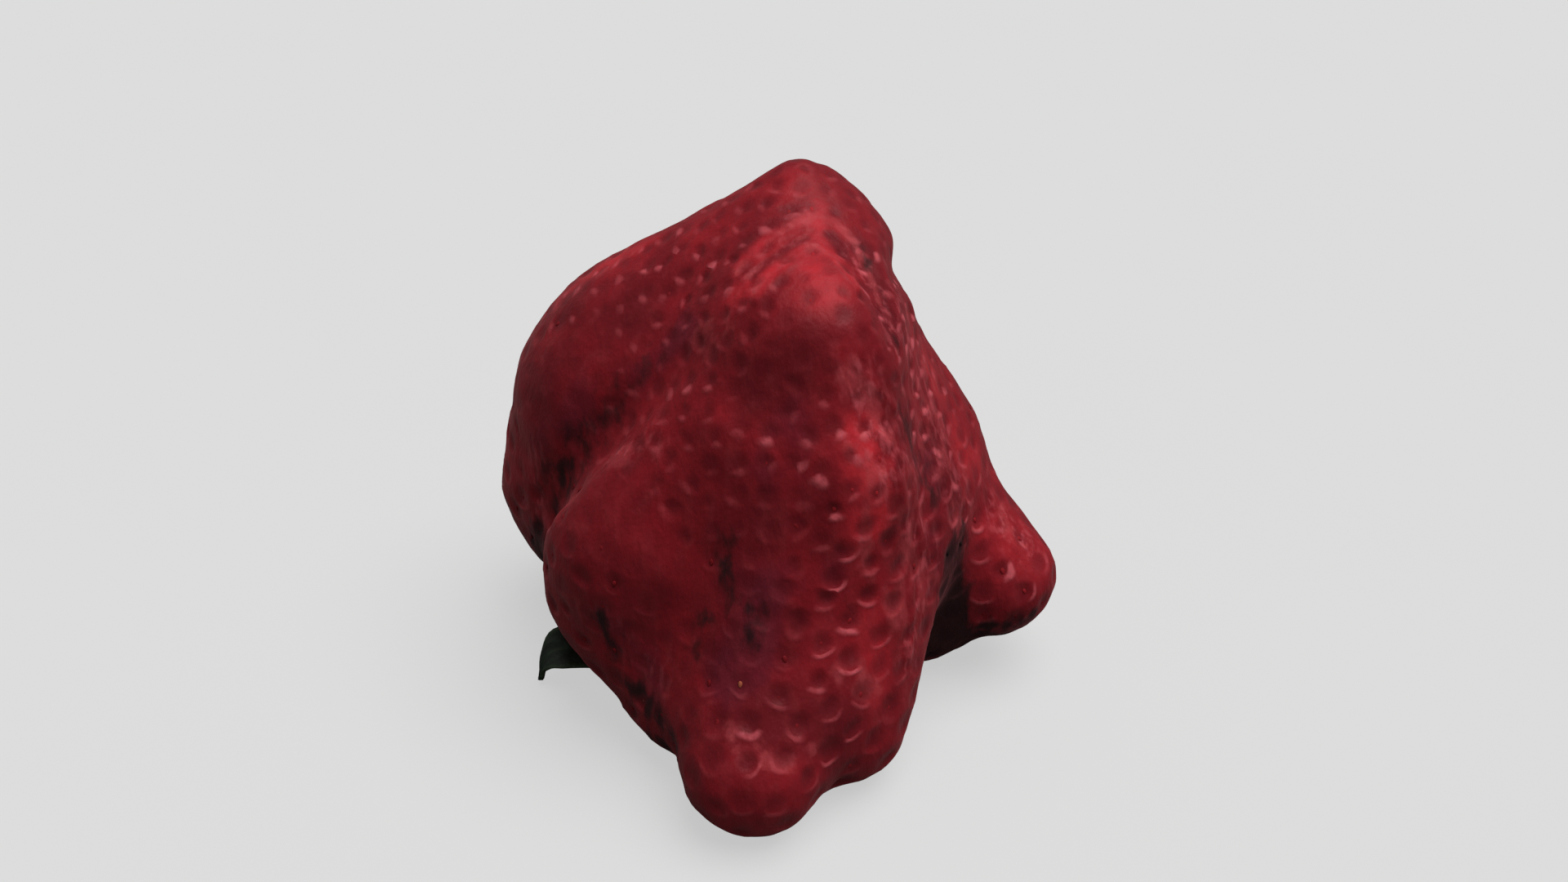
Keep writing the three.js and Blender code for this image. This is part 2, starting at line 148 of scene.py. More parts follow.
SOFT_TO = 31 * MM
SOFT_SPREAD = 0.3                # how unequally soft the pits at one height are
SOFT_DEPTH = 0.6                 # a soft pit's depth and lip, against a crisp one's
SOFT_LIP = 0.5
LIP_HIGHLIGHT_LEAST = 0.2                 # the faintest painted highlight on a pit's lower lip, against the brightest
LIP_HIGHLIGHT_SKEW = 1.3                  # above 1, few lips have a bright painted highlight
LIP_HIGHLIGHT_ELSEWHERE = 0.25            # how bright the lips' painted highlights are outside the areas where they show most

# The achenes themselves.
ACHENE_SIDES = 8
ACHENE_RINGS = 5
ACHENE_SIZES = (0.85, 1.1)       # the least and greatest length, against the mean
ACHENE_WIDTH = 0.34              # half an achene's width, against its length
ACHENE_FLATNESS = 0.36           # its height, against its width
ACHENE_TAPER = 0.4               # how much narrower it is at its pointed end
ACHENE_TURN = 0.25               # how far it strays from straight downhill, radians
ACHENE_SINK = 0.065 * MM         # how deep in its pit's floor its middle lies
ACHENE_SOFT_SINK = 0.09 * MM     # and how much deeper in soft skin
ACHENE_SCATTER = 0.06 * MM       # how unevenly deep the achenes sit
ACHENE_NEEDS = 0.15              # a pit shallower than this share of a full one has no achene
ACHENE_NEEDS_HEIGHT = 1.5 * MM   # nor has skin as near the ground as this

# ---- patches of colour, painted light and painted shade on the skin: from, to, radius and strength ----

# Nearly black patches: real dark blotches and spots, and painted shade in the creases, the comb's groove, the
# right crevice, under the horn and on the undersides and hems.
BRUISES_AND_SHADE = {
    "front streak": ([-4, -12.5, 25], [-4.3, -13.8, 21.5], 2, 0.7),
    "front streak's tail": ([-3.4, -14, 22], [-3.2, -14.8, 19.5], 1.3, 0.45),
    "front left spot": ([-6, -14.3, 18], [-6.3, -14.8, 15.6], 2, 0.8),
    "front spot": ([-1.6, -15.3, 20], [-1.6, -16.2, 17.6], 1.7, 0.75),
    "left edge, high": ([-14.5, -11, 16], [-13, -11.8, 11.5], 2.4, 0.68),
    "left edge, low": ([-12.4, -12.1, 9.5], [-10, -14.5, 7.5], 2.6, 0.8),
    "left foot": ([-9, -15.4, 7.8], [-6.5, -17.5, 5], 2.2, 0.85),
    "left underside": ([-14.5, -6, 6], [-9, -12.5, 4], 3.5, 1.2),
    "crease, high": ([-13.8, -1.5, 30], [-16.5, -1.2, 27], 2.6, 0.65),
    "crease, low": ([-17.5, -1.2, 25], [-20, -0.8, 19], 2.4, 0.8),
    "left shoulder's hem": ([-21.5, 1, 14.5], [-22.5, 5, 6], 3.6, 1.1),
    "left shoulder's spots": ([-20, -0.4, 24], [-22, 1, 19], 2.2, 0.45),
    "over the crease": ([-10, -2, 36], [-14, -2, 32], 2.4, 0.5),
    "right crevice": ([15, -5, 17.5], [15.5, -3.5, 8], 3.8, 1.9),
    "crevice's head": ([16, -4, 19.5], [15.5, -4.5, 17], 1.8, 1.2),
    "crevice's near wall": ([14.4, -6.6, 16.5], [14, -6, 8], 1.8, 1.3),
    "under the horn": ([13.5, -3.5, 5], [19, -1, 4.5], 4.6, 1.9),
    "horn's lower edge": ([18, -2.4, 7.4], [23.5, -1.5, 8.6], 1.9, 1),
    "comb's groove": ([6.9, 1.2, 43.5], [9.6, -4.4, 38], 0.9, 0.45),
    "beside the ridge": ([10.5, -6.5, 33], [12.5, -5.5, 24], 2.2, 0.5),
}
BLOOMS = {
    "front": ([-1, -15, 21], [-3.5, -17, 15], 5, 1),
    "left cheek, low": ([-14, -11, 17], [-9.5, -14.5, 10], 3, 0.6),
    "over the crease": ([-7, -2, 38], [-12, -2.5, 33], 3.4, 0.8),
    "under the comb": ([2.5, -10, 36], [1, -11.5, 31], 4, 0.6),
    "front right": ([3.5, -15.5, 20], [6.5, -14.5, 24], 3.5, 0.5),
    "right face, low": ([11, -5, 26], [12, -6, 19], 4, 0.5),
    "left shoulder": ([-20, 0.5, 26], [-16, -0.4, 30], 4, 0.5),
}
# Pale, dull pink patches, and painted highlights: the comb's pale lines, the knee, the ridge's crest, the
# horn's crest and the shoulder's rim.
HAZES_AND_HIGHLIGHTS = {
    "left of the front foot": ([-5, -18.8, 12.4], [-2, -20.9, 10.4], 2, 0.75),
    "front foot": ([-2, -21, 10.2], [1.5, -21, 9.6], 1.5, 0.8),
    "front foot, right": ([1.8, -20.6, 9.7], [3.6, -19.3, 9.8], 1.1, 0.6),
    "ridge foot": ([5.8, -16.2, 14.6], [8, -15.6, 12.5], 2.2, 0.95),
    "knee": ([7, -11.5, 33], [7.8, -11.9, 28.5], 2.4, 0.9),
    "ridge's crest": ([7.5, -12.2, 28.5], [6.9, -13.4, 22], 2, 0.6),
    "right face, low": ([11.5, -4, 30], [14, -4, 21], 3.6, 0.4),
    "ridge's shoulder": ([5.5, -9, 38.5], [8.5, -8.5, 33], 2.6, 0.55),
    "comb, high left line": ([3.3, 3, 46], [-2.9, -1.1, 42.8], 0.8, 1.3),
    "comb, middle left line": ([3.2, 1.2, 45.5], [-2, -2.4, 42.8], 0.6, 1),
    "comb, left line": ([3.2, -0.6, 44.8], [-1.2, -3.8, 42.6], 0.8, 1.2),
    "comb, high right line": ([3.3, 3, 46], [6, 1.9, 44.3], 0.7, 1),
    "comb, far right line": ([6, 1.9, 44.3], [8.2, -2.5, 40.8], 0.6, 1.1),
    "comb, right line": ([3.2, -0.6, 44.8], [6.2, -3.4, 42.7], 0.8, 1.2),
    "over the crease": ([-4, -4.5, 39], [-9, -3.2, 36], 2.4, 0.6),
    "left brow": ([-13, -5.6, 27.5], [-9.5, -6.6, 29.5], 2.4, 0.5),
    "ridge, low": ([9.8, -12.5, 20], [10, -13.5, 13], 2.2, 0.8),
    "ridge's flank": ([10.5, -9.5, 29], [12, -9.2, 17], 2.6, 0.6),
    "right face": ([10, -1, 38], [15, -2.5, 21], 5, 0.45),
    "horn's crest": ([17, 2, 18.8], [22.3, 0.5, 15], 1.9, 0.9),
    "shoulder's rim": ([-12, 8, 41], [-19, 8, 35], 2.2, 0.5),
}
# Brighter red: some real blush, and painted light on the lit tops and crests: the comb, the tip, the ridge,
# the horn, the right face and the shoulder's bright rim.
BLUSHES_AND_LIGHT = {
    "comb": ([2.5, -1, 45], [4, -5, 42.5], 3.6, 0.75),
    "comb's left": ([1.5, 0.5, 46], [-3, -3.5, 42.5], 3, 0.55),
    "comb's top": ([3.3, 3.5, 46.2], [3.2, -1, 44.8], 2.4, 0.7),
    "comb, high left stripe": ([3.3, 3, 46], [-2.9, -1.1, 42.8], 1.6, 0.65),
    "comb, high right stripe": ([3.3, 3, 46], [6, 1.9, 44.3], 1.6, 0.5),
    "comb, left stripe": ([3.2, -0.6, 44.8], [-1.2, -3.8, 42.6], 1.8, 0.75),
    "comb, right stripe": ([3.2, -0.6, 44.8], [6.2, -3.4, 42.7], 1.9, 0.75),
    "comb's nose": ([3.2, -4.4, 43.6], [3.8, -5.2, 42.6], 1.8, 0.8),
    "horn": ([16.5, 1, 18], [23, 0, 13], 5, 0.4),
    "ridge": ([7, -11, 34], [7.5, -12.5, 26], 4, 0.65),
    "ridge, low": ([8, -13, 22], [8, -14.5, 12], 3.5, 0.3),
    "front foot": ([0, -21.5, 8], [4, -19, 8], 4.5, 0.1),
    "ridge foot": ([7.5, -15.5, 16], [8, -15, 11], 3, 0.35),
    "left brow": ([-4, -8.5, 34], [-7, -9.5, 31], 4.5, 0.3),
    "brow": ([-1, -9.5, 32], [3, -11, 31], 3.5, 0.5),
    "tip": ([2, 5, 47], [-6, 5, 42], 5, 0.3),
    "shoulder's rim": ([-11, 9, 42], [-20, 9, 35], 3, 0.5),
    "left cheek": ([-13.5, -9, 25], [-11, -11, 21], 5.5, 0.15),
    "left cheek, low": ([-14, -10, 17], [-9.5, -13.5, 14], 4, 0.2),
    "right edge": ([11, 2, 36], [16.5, 2, 22], 4.5, 0.4),
}
SHADES = {
    "under the comb": ([2, -8.5, 39], [-1, -9.5, 37], 5, 0.9),
    "left shoulder": ([-17, 2, 33.5], [-20, 1, 28], 6.5, 0.75),
    "between the comb's left lines": ([2.4, 0.2, 45.2], [-1.6, -2.4, 43.1], 1, 1),
    "comb's groove": ([6.9, 1.4, 43.5], [9.4, -4, 38.8], 2, 1.1),
    "over the comb's left line": ([2.6, 3.9, 46], [-3.2, 0.6, 43.3], 1.4, 0.7),
    "between the comb's right lines": ([4.2, 1, 45], [6.8, -1.2, 43.1], 1.1, 0.9),
    "crease": ([-10, -3, 35], [-17, -1.5, 27], 3, 0.5),
    "front": ([-1, -13, 27], [-2, -16, 17], 6, 0.6),
    "beside the ridge": ([11, -7, 24], [11.5, -8, 15], 2.4, 0.7),
    "front, low": ([-2, -18.5, 13], [4.5, -18, 10.5], 5.5, 1.1),
    "front foot": ([-3, -21.5, 8], [2.5, -21, 7], 3.5, 0.4),
    "front foot, right": ([4.5, -19, 7.5], [6, -18, 5.5], 3.5, 0.7),
    "front foot, left": ([-5, -19.5, 8], [-3, -21, 5.5], 3, 0.5),
    "right face": ([12, -3, 28], [14.5, -3.5, 20], 4, 1),
    "left cheek": ([-13.5, -9, 24], [-9, -12, 20], 6, 0.25),
    "left slope, low": ([-17.5, 4, 36], [-11, 1.5, 37.5], 5.5, 0.75),
    "brow's far side": ([-3, -5, 40.5], [-8, -4, 38], 3, 0.4),
}
SMOOTH_SKIN = {
    "left cheek": ([-14, -7.5, 25], [-7, -13, 20], 8, 1),
    "left cheek, low": ([-15, -10, 17], [-8, -14, 13], 5, 0.8),
    "front": ([-4, -13, 26], [-2, -16.5, 17], 4.5, 0.6),
    "left shoulder": ([-15, 2, 36], [-21, 1, 24], 8, 0.92),
    "under the comb": ([3, -7.5, 41], [-2, -9, 36], 4.5, 0.85),
    "horn's crest": ([17, 2.5, 19], [21, 2, 16], 4.5, 0.85),
    "comb": ([2.6, -2.5, 45], [3.6, -4.5, 43.5], 3.2, 0.9),
    "comb's left": ([1, -1, 45], [-3, -3.5, 42.5], 2.2, 0.7),
    "comb's left, high": ([2.8, 1.6, 45.6], [-2.4, -1.2, 43], 2, 0.65),
}

# Where the painted highlights on the pits' lower lips show most.
LIP_HIGHLIGHTS = {
    "left slope": ([-3, 1, 43], [-15, 5, 37.5], 8, 1.25),
    "left brow": ([-10, -5, 33], [3, -11, 32], 5, 1.1),
    "ridge": ([5, -11, 34], [6.5, -16, 14], 5.5, 1.3),
    "right face": ([10, -1, 40], [15.5, -2.5, 22], 8, 1.6),
    "horn": ([16.5, -2.5, 14], [22, -2, 11], 5, 1.9),
    "front foot": ([-1, -20, 11], [5, -18, 10], 5, 0.85),
    "back": ([-8, 16, 26], [10, 14, 22], 14, 0.9),
}
WISPS = {
    "ridge's shoulder": ([7, -9.5, 38], [8.5, -10, 30], 3.4, 1),
    "ridge's flank": ([10.5, -8.5, 31], [12, -8.5, 18], 3.6, 0.8),
    "ridge's flank, low": ([11.5, -9.5, 18], [11, -11.5, 12], 2.6, 1),
    "right face, high": ([9.5, -1.5, 40], [13, -1, 31], 4, 0.7),
    "right face": ([13, -1, 31], [15, -3, 23], 4.5, 0.6),
    "comb's left": ([2, 1, 45.5], [-3, -4, 42], 3, 0.3),
    "comb's right": ([6.5, 0, 43], [9.5, -4.5, 37.5], 2.2, 0.9),
    "left brow": ([-14, -5, 28], [-8, -6.5, 31], 2.6, 0.5),
    "left shoulder, low": ([-21, 0, 24], [-22.5, 2, 13], 4, 0.6),
    "left cheek, low": ([-15, -9.5, 16], [-10, -13.5, 12], 4, 0.4),
    "horn's crest": ([16.5, 2, 19], [22.5, 0.5, 15], 3.2, 0.9),
}

PATCHES = {
    "bruise_and_shade": BRUISES_AND_SHADE, "bloom": BLOOMS, "haze_and_highlight": HAZES_AND_HIGHLIGHTS, "blush_and_light": BLUSHES_AND_LIGHT, "shade": SHADES, "wisps": WISPS}

# Raised folds of skin: from, to, radius and how far each rises.
FOLDS = {
    "shoulder fold": ([6.6, -8.9, 38.4], [9.4, -7.6, 34.2], 0.9, 0.35),
    "knee fold": ([6.6, -10.2, 35.4], [9, -9.7, 32.2], 0.8, 0.35),
    "short fold": ([9, -7.4, 37.5], [9.6, -7.4, 34.6], 0.7, 0.25),
    "long flank fold": ([9.4, -10.4, 30.5], [11.4, -9.8, 22], 0.9, 0.22),
    "middle flank fold": ([11.2, -8.4, 28.5], [12.2, -8.4, 21], 0.8, 0.2),
    "low flank fold": ([11.4, -10.6, 19], [11, -12, 12.5], 0.8, 0.25),
    "comb's left fold": ([2.2, -2, 45], [-1.2, -4.8, 42], 0.8, 0.2),
    "comb's right fold": ([3.6, -1.2, 45], [6.4, -4, 42.6], 0.8, 0.2),
}

# ---- calyx and stalk ----

# Sepals and bracts run outwards from the calyx disc: midrib, greatest width, sideways tilt and side.
SEPALS = {
    "long left sepal": (4, 0.7, [-0.2, 1, 0], [
        [-1.6, 3.9, 6.3], [-6.3, 2.5, 3.4], [-11.3, 1.1, 2.5], [-16.3, -0.1, 3],
        [-19.8, -0.9, 3.7], [-21.1, -1.2, 3.5], [-21.8, -1.6, 2.6], [-22.3, -2.1, 0.9]]),
    "back sepal": (3.4, 0, [1, 0, 0], [[-0.8, 5.3, 6.4], [-0.8, 7, 4.9], [-1.1, 7.3, 3.1], [-1.5, 6.7, 1.4]]),
    "right sepal": (4, 0, [0, -1, 0], [[0.2, 4.1, 6.5], [2.9, 3.9, 5.6], [4.1, 3.7, 3.6], [3.9, 3.5, 1.4]]),
    "right front sepal": (3.2, 0, [-0.55, -0.83, 0], [
        [-0.1, 3.3, 6.2], [2.5, 0.7, 4.2], [5.1, -1, 3], [7.8, -2.2, 2.4], [10, -3.2, 2.2]]),
    "front sepal": (3.2, 0, [-1, 0, 0], [
        [-0.9, 3.1, 6.2], [-1.1, 1, 4.5], [-1.4, -0.1, 2.8], [-1.7, 0.3, 1.2]]),
    "left back bract": (2.8, 0, [0, 1, 0], [
        [-2, 4.9, 6.3], [-6.3, 5.6, 4.7], [-10.3, 5.8, 3.1], [-14, 5.6, 2.1], [-17.4, 5.2, 1.9]]),
    "back left bract": (2, 0, [0.7, 0.7, 0], [
        [-1.9, 5.4, 6.4], [-3.8, 6.7, 4.8], [-5.3, 7.5, 3.2], [-6.4, 7.3, 1.8]]),
    "back right bract": (2.2, 0, [0.7, -0.7, 0], [
        [0.1, 5, 6.5], [2, 6.7, 5.4], [3, 7.2, 3.6], [3, 6.7, 1.6]]),
}
SEPAL_ROWS = 60
SEPAL_COLUMNS = 16
SEPAL_GUTTER = 0.35 * MM         # how far a sepal's edges stand above its midrib
SEPAL_RIPPLE = 0.06 * MM         # how far its edges wave
SEPAL_WAVES = 21                 # how fast they wave, radians along its whole length
SEPAL_WAIST = 0.6                # its width at the root, against its full width
SEPAL_WIDEST = 0.45              # it has its full width from here, as a share of its length
SEPAL_NARROWS = 0.82             # and narrows from here
SEPAL_SLIMMING = 0.93            # so much by its tip
VEIN_DEPTH = 0.07 * MM
SIDE_VEINS = 9
VEIN_SLANT = 1.6                 # how far a side vein runs on towards the tip, in gaps between side veins
VEIN_PALENESS = 0.7              # a side vein's paleness, against the midrib's
MIDRIB_WIDTH = 0.12              # against half the sepal's width

DISC_OUTLINE = [[0, 5.8], [1.8, 5.9], [2.9, 6.2], [3.1, 6.7], [2.6, 7.1], [1.2, 7.3], [0, 7.3]]
DISC_SIDES = 32

# The stalk from the disc to its cut end: [x, y, z, radius].
STALK = [
    [-0.8, 4.3, 5.4, 1.5], [-0.8, 4.2, 4.7, 1.15], [-0.5, 3.9, 3.4, 1.1],
    [0, 3.4, 2.1, 1.1], [0.4, 3, 1.1, 1.2]]
STALK_SIDES = 30
STALK_STATIONS = 13
STALK_RIBS = 5
STALK_RIB_HEIGHT = 0.05
CUT_RINGS = [[1.1, 0.06], [0.8, 0], [0.35, -0.12]]   # the dished end's rings: radius and rise

# ---- the flesh's gloss, sheen and depth, on its shader's own sockets ----

FLESH_SHADER = {
    "Specular IOR Level": 0.12,
    "Sheen Weight": 0.16,
    "Sheen Roughness": 0.35,
    "Sheen Tint": (1.0, 0.3, 0.32, 1.0),
    "Subsurface Weight": 0.15,
    "Subsurface Radius": (1.0, 0.25, 0.15),
    "Subsurface Scale": 1.2 * MM,
}

# ---- stage ----

CAMERA_TARGET = Vector((0.7, 3.3, 24)) * MM
CAMERA_DISTANCE = 126 * MM
CAMERA_ELEVATION = math.radians(33)
SENSOR_WIDTH = 36                # Blender's own lens unit, millimetres
FOCAL_LENGTH = 32.81
CLIP_START = 10 * MM
FLOOR_SIZE = 3.0                 # metres from the middle to an edge
FLOOR_SQUARES = 8
LAMP_DIRECTION = (0.3, -0.05, 1)
LAMP_SPREAD = math.radians(50)
BOUNCE = 0.15                    # how much of the floor's light reaches the fruit
FLOOR_GLOW = 0.75                # how much of the floor's paleness is its own light, which softens the shadow


# ---- sizes and colours that a user would change ----

def length_property(name, description, millimetres):
    """A length in Blender's own unit, given in millimetres."""
    return bpy.props.FloatProperty(
        name=name, description=description, default=millimetres * MM, min=0, unit="LENGTH", precision=5)


def share_property(name, description, share):
    """A share from 0 to 1."""
    return bpy.props.FloatProperty(
        name=name, description=description, default=share, min=0, max=1, subtype="FACTOR")


def colour_property(name, description, colour):
    """A linear colour."""
    return bpy.props.FloatVectorProperty(
        name=name, description=description, default=colour, size=3, min=0, max=1, subtype="COLOR")


class FruitSettings(bpy.types.PropertyGroup):
    """The fruit's skin and its achenes."""

    achene_count: bpy.props.IntProperty(
        name="Achenes", description="How many achenes cover the skin", default=900, min=100, max=1000)
    pit_depth: length_property("Pit depth", "How deep a pit is under the skin round it", 0.28)
    pit_radius: share_property("Pit radius", "A pit's radius as a share of the achenes' spacing", 0.37)
    lip_height: length_property("Lip height", "How far the skin rises at a pit's lower edge", 0.06)
    lumps: length_property("Lumps", "How far the skin swells and sinks between the creases", 0.22)
    achene_length: length_property("Achene length", "Length of one achene", 0.62)
    ripe: colour_property("Ripe skin", "Colour of most of the skin", (0.33, 0.014, 0.022))
    deep: colour_property("Deep skin", "Colour of the darkest red skin", (0.14, 0.009, 0.014))
    # Bright red, for blush and for painted light on the lit crests.
    bright: colour_property("Bright skin", "Colour of the blushing skin", (0.73, 0.034, 0.048))
    # Pale dull pink, for dull patches and for painted highlights.
    haze_and_highlight: colour_property("Haze and highlight", "Colour of the pale, dull patches", (0.52, 0.072, 0.083))
    # The lip colour is a painted highlight: the pale pink where the light falls on each pit's lower lip.
    lip: colour_property("Lip", "Colour of the pale skin below a pit", (0.7, 0.12, 0.145))
    bloom: colour_property("Bloom", "Colour of the purplish patches", (0.165, 0.016, 0.031))
    # Nearly black, for real blotches and for painted shade in creases, crevices and undersides.
    bruise_and_shade: colour_property("Bruise and shade", "Colour of the nearly black patches", (0.018, 0.01, 0.011))
    achene_dark: colour_property("Dark achene", "Colour of most achenes", (0.26, 0.013, 0.018))
    achene_gold: colour_property("Golden achene", "Colour of a few achenes", (0.42, 0.11, 0.055))


class CalyxSettings(bpy.types.PropertyGroup):
    """The calyx and the stalk."""

    sepal_thickness: length_property("Sepal thickness", "Thickness of a sepal", 0.4)
    leaf: colour_property("Leaf", "Colour of the sepals", (0.012, 0.022, 0.013))
    leaf_edge: colour_property("Leaf edge", "Colour of the sepals' veins and edges", (0.04, 0.065, 0.028))
    stem: colour_property("Stem", "Colour of the stalk", (0.13, 0.17, 0.045))
    cut: colour_property("Cut end", "Colour of the stalk's cut end", (0.34, 0.33, 0.16))


class StageSettings(bpy.types.PropertyGroup):
    """The floor, the lights and the room round them."""

    floor: colour_property("Floor", "Colour of the floor", (0.78, 0.78, 0.78))
    room: colour_property("Room", "Colour of the room behind the floor", (0.72, 0.72, 0.72))
    lamp: bpy.props.FloatProperty(
        name="Lamp", description="Strength of the large lamp overhead", default=2.5, min=0)
    fill: bpy.props.FloatProperty(
        name="Fill", description="Strength of the light from the room", default=0.24, min=0)


SETTINGS = {
    "strawberry_fruit": FruitSettings,
    "strawberry_calyx": CalyxSettings,
    "strawberry_stage": StageSettings,
}


# ---- numbers and curves ----

def lerp(start, end, share):
    """From start to end by share."""
    return start + (end - start) * share


def smoothstep(low, high, value):
    """From 0 at low to 1 at high, flat at both ends."""
    share = np.clip((value - low) / (high - low), 0, 1)
    return share * share * (3 - 2 * share)


def unit(vectors):
    """Vectors at length 1."""
    return vectors / np.linalg.norm(vectors, axis=-1, keepdims=True)


def dot(a, b):
    """Dot product of each pair of rows."""
    return (a * b).sum(-1)


def centripetal_curve(points, count):
    """Evenly spaced points and tangents on a centripetal Catmull-Rom curve through the points."""
    points = np.array(points, float)
    ends = [2 * points[0] - points[1], *points, 2 * points[-1] - points[-2]]
    dense = []
    for p0, p1, p2, p3 in zip(ends, ends[1:], ends[2:], ends[3:]):
        t1 = math.sqrt(np.linalg.norm(p1 - p0))
        t2 = t1 + math.sqrt(np.linalg.norm(p2 - p1))
        t3 = t2 + math.sqrt(np.linalg.norm(p3 - p2))
        for t in np.linspace(t1, t2, CURVE_STEPS, endpoint=False):
            a1 = lerp(p0, p1, t / t1)
            a2 = lerp(p1, p2, (t - t1) / (t2 - t1))
            a3 = lerp(p2, p3, (t - t2) / (t3 - t2))
            b1 = lerp(a1, a2, t / t2)
            b2 = lerp(a2, a3, (t - t1) / (t3 - t1))
            dense.append(lerp(b1, b2, (t - t1) / (t2 - t1)))
    dense = np.array([*dense, points[-1]])
    travel = np.concatenate([[0], np.cumsum(np.linalg.norm(np.diff(dense, axis=0), axis=1))])
    stations = np.linspace(0, travel[-1], count)
    places = np.stack([np.interp(stations, travel, dense[:, axis]) for axis in range(3)], axis=1)
    return places, unit(np.gradient(places, axis=0))


# ---- the fruit's skin ----

def lobe_distance(points, top, foot):
    """How far points are from a ball drawn down to another ball."""
    start, axis = top[:3], foot[:3] - top[:3]
    taper = top[3] - foot[3]
    length_sq = axis @ axis
    slant_sq = length_sq - taper * taper
    offset = points - start
    along = offset @ axis
    past = along - length_sq
    across_sq = ((offset * length_sq - np.outer(along, axis)) ** 2).sum(1)
    bound = np.sign(taper) * taper * taper * across_sq
    at_foot = np.sqrt(across_sq + past * past * length_sq) / length_sq - foot[3]
    at_top = np.sqrt(across_sq + along * along * length_sq) / length_sq - top[3]
    between = (np.sqrt(across_sq * slant_sq / length_sq) + along * taper) / length_sq - top[3]
    beyond_foot = np.sign(past) * slant_sq * past * past * length_sq > bound
    beyond_top = np.sign(along) * slant_sq * along * along * length_sq < bound
    return np.where(beyond_foot, at_foot, np.where(beyond_top, at_top, between))


def crease_dents(width, points):
    """A crease as a row of soft dents, about its own width apart."""
    dents = []
    for start, end in zip(points, points[1:]):
        length = np.linalg.norm(end[:3] - start[:3])
        count = math.ceil(length / width)
        for step in range(count):
            place = lerp(start, end, (step + 0.5) / count)
            strength = place[3] * length / (count * width * math.sqrt(math.pi))
            dents.append((place[:3], width, strength))
    return dents


LOBE_BALLS = [(np.array(top, float) * MM, np.array(foot, float) * MM) for top, foot in LOBES.values()]
DENTS = [
    dent for width, points in CREASES.values()
    for dent in crease_dents(width * MM, np.array(points) * MM)]


def fruit_field(points):
    """Below zero inside the fruit, above zero outside."""
    total = sum(np.exp(-lobe_distance(points, top, foot) / BLEND) for top, foot in LOBE_BALLS)
    field = -BLEND * np.log(total)
    for centre, width, strength in DENTS:
        field += strength * np.exp(-((points - centre) ** 2).sum(1) / width ** 2)
    return np.maximum(field, -points[:, 2])


def field_slope(points):
    """The field's gradient, which points out of the fruit."""
    rises = [fruit_field(points + step) - fruit_field(points - step) for step in np.eye(3) * PROBE]
    return np.stack(rises, 1) / (2 * PROBE)


def skin_normals(points):
    """The skin's outward directions, felt for just over the points so that the ground doesn't turn them."""
    return unit(field_slope(points + UP * (PROBE * 2)))


def grounded(points):
    """Points with what lies on the ground, near enough, put exactly on it."""
    points[points[:, 2] < GROUNDED, 2] = 0
    return points


def skin_points(directions):
    """The skin as seen from the heart along unit directions."""
    inside = np.full(len(directions), MM)
    outside = np.full(len(directions), SKIN_REACH)
    for _ in range(BISECTIONS):
        middle = (inside + outside) / 2
        buried = fruit_field(HEART + directions * middle[:, None]) < 0
        inside = np.where(buried, middle, inside)
        outside = np.where(buried, outside, middle)
    return grounded(HEART + directions * inside[:, None])


def settle(points):
    """Moves points near the skin straight onto it."""
    for _ in range(SETTLE_STEPS):
        slope = field_slope(points)
        points = points - slope * (fruit_field(points) / dot(slope, slope))[:, None]
    return grounded(points)


def pitch_share(points):
    """The achenes' spacing at these heights, against the mean."""
    return lerp(PITCH_AT_FOOT, PITCH_AT_TIP, smoothstep(0, TIP_HEIGHT, points[:, 2]))


def spiral_directions(count):
    """Unit directions all round, along a golden-angle spiral."""
    order = np.arange(count)
    height = 1 - (2 * order + 1) / count
    across = np.sqrt(1 - height * height)
    turn = order * math.pi * (3 - math.sqrt(5))
    return np.stack([across * np.cos(turn), across * np.sin(turn), height], 1)


def bud_sites(count):
    """Each new achene takes the barest spot of skin."""
    skin = skin_points(spiral_directions(SKIN_SAMPLES))
    share = pitch_share(skin)
    bareness = np.full(len(skin), np.inf)
    newest = 0
    sites = []
    for _ in range(count):
        sites.append(skin[newest])
        bareness = np.minimum(bareness, np.linalg.norm(skin - skin[newest], axis=1) / share)
        newest = int(bareness.argmax())
    return np.array(sites)


def achene_sites(count):
    """The buds push each other evenly apart over the skin."""
    sites = bud_sites(count)
    for _ in range(SPREAD_STEPS):
        away = sites[:, None] - sites
        gap = np.linalg.norm(away, axis=2) + np.eye(count) * SKIN_REACH
        share = pitch_share(sites)
        reach = SPREAD_REACH * (share[:, None] + share) / 2
        push = np.clip((reach - gap) / (reach * gap), 0, None)
        sites = settle(sites + SPREAD_PUSH * (push[..., None] * away).sum(1))
    return sites


def site_pitch(sites):
    """Each achene's mean distance to its nearest neighbours."""
    gaps = np.sort(np.linalg.norm(sites[:, None] - sites, axis=2), axis=1)
    return gaps[:, 1:NEIGHBOURS + 1].mean(1)


def patch_mask(points, patches):
    """How strongly patches cover the points: each has its strength along a line and fades away from it."""
    mask = np.zeros(len(points))
    for start, end, radius, strength in patches.values():
        start, run = np.array(start) * MM, (np.array(end) - np.array(start)) * MM
        along = np.clip((points - start) @ run / (run @ run), 0, 1)
        gap = np.linalg.norm(points - start - along[:, None] * run, axis=1)
        mask = np.maximum(mask, strength * (1 - smoothstep(0, radius * MM, gap)))
    return mask


def relief_at(points):
    """How strongly the pits show: not where the fruit stands or under the calyx, and less on smooth skin."""
    footing = smoothstep(FOOTING_FROM, PITS_FROM, points[:, 2])
    seat = smoothstep(SEAT_RADIUS, SEAT_EDGE, np.linalg.norm(points - CALYX_SEAT, axis=1))
    return footing * seat * (1 - patch_mask(points, SMOOTH_SKIN))


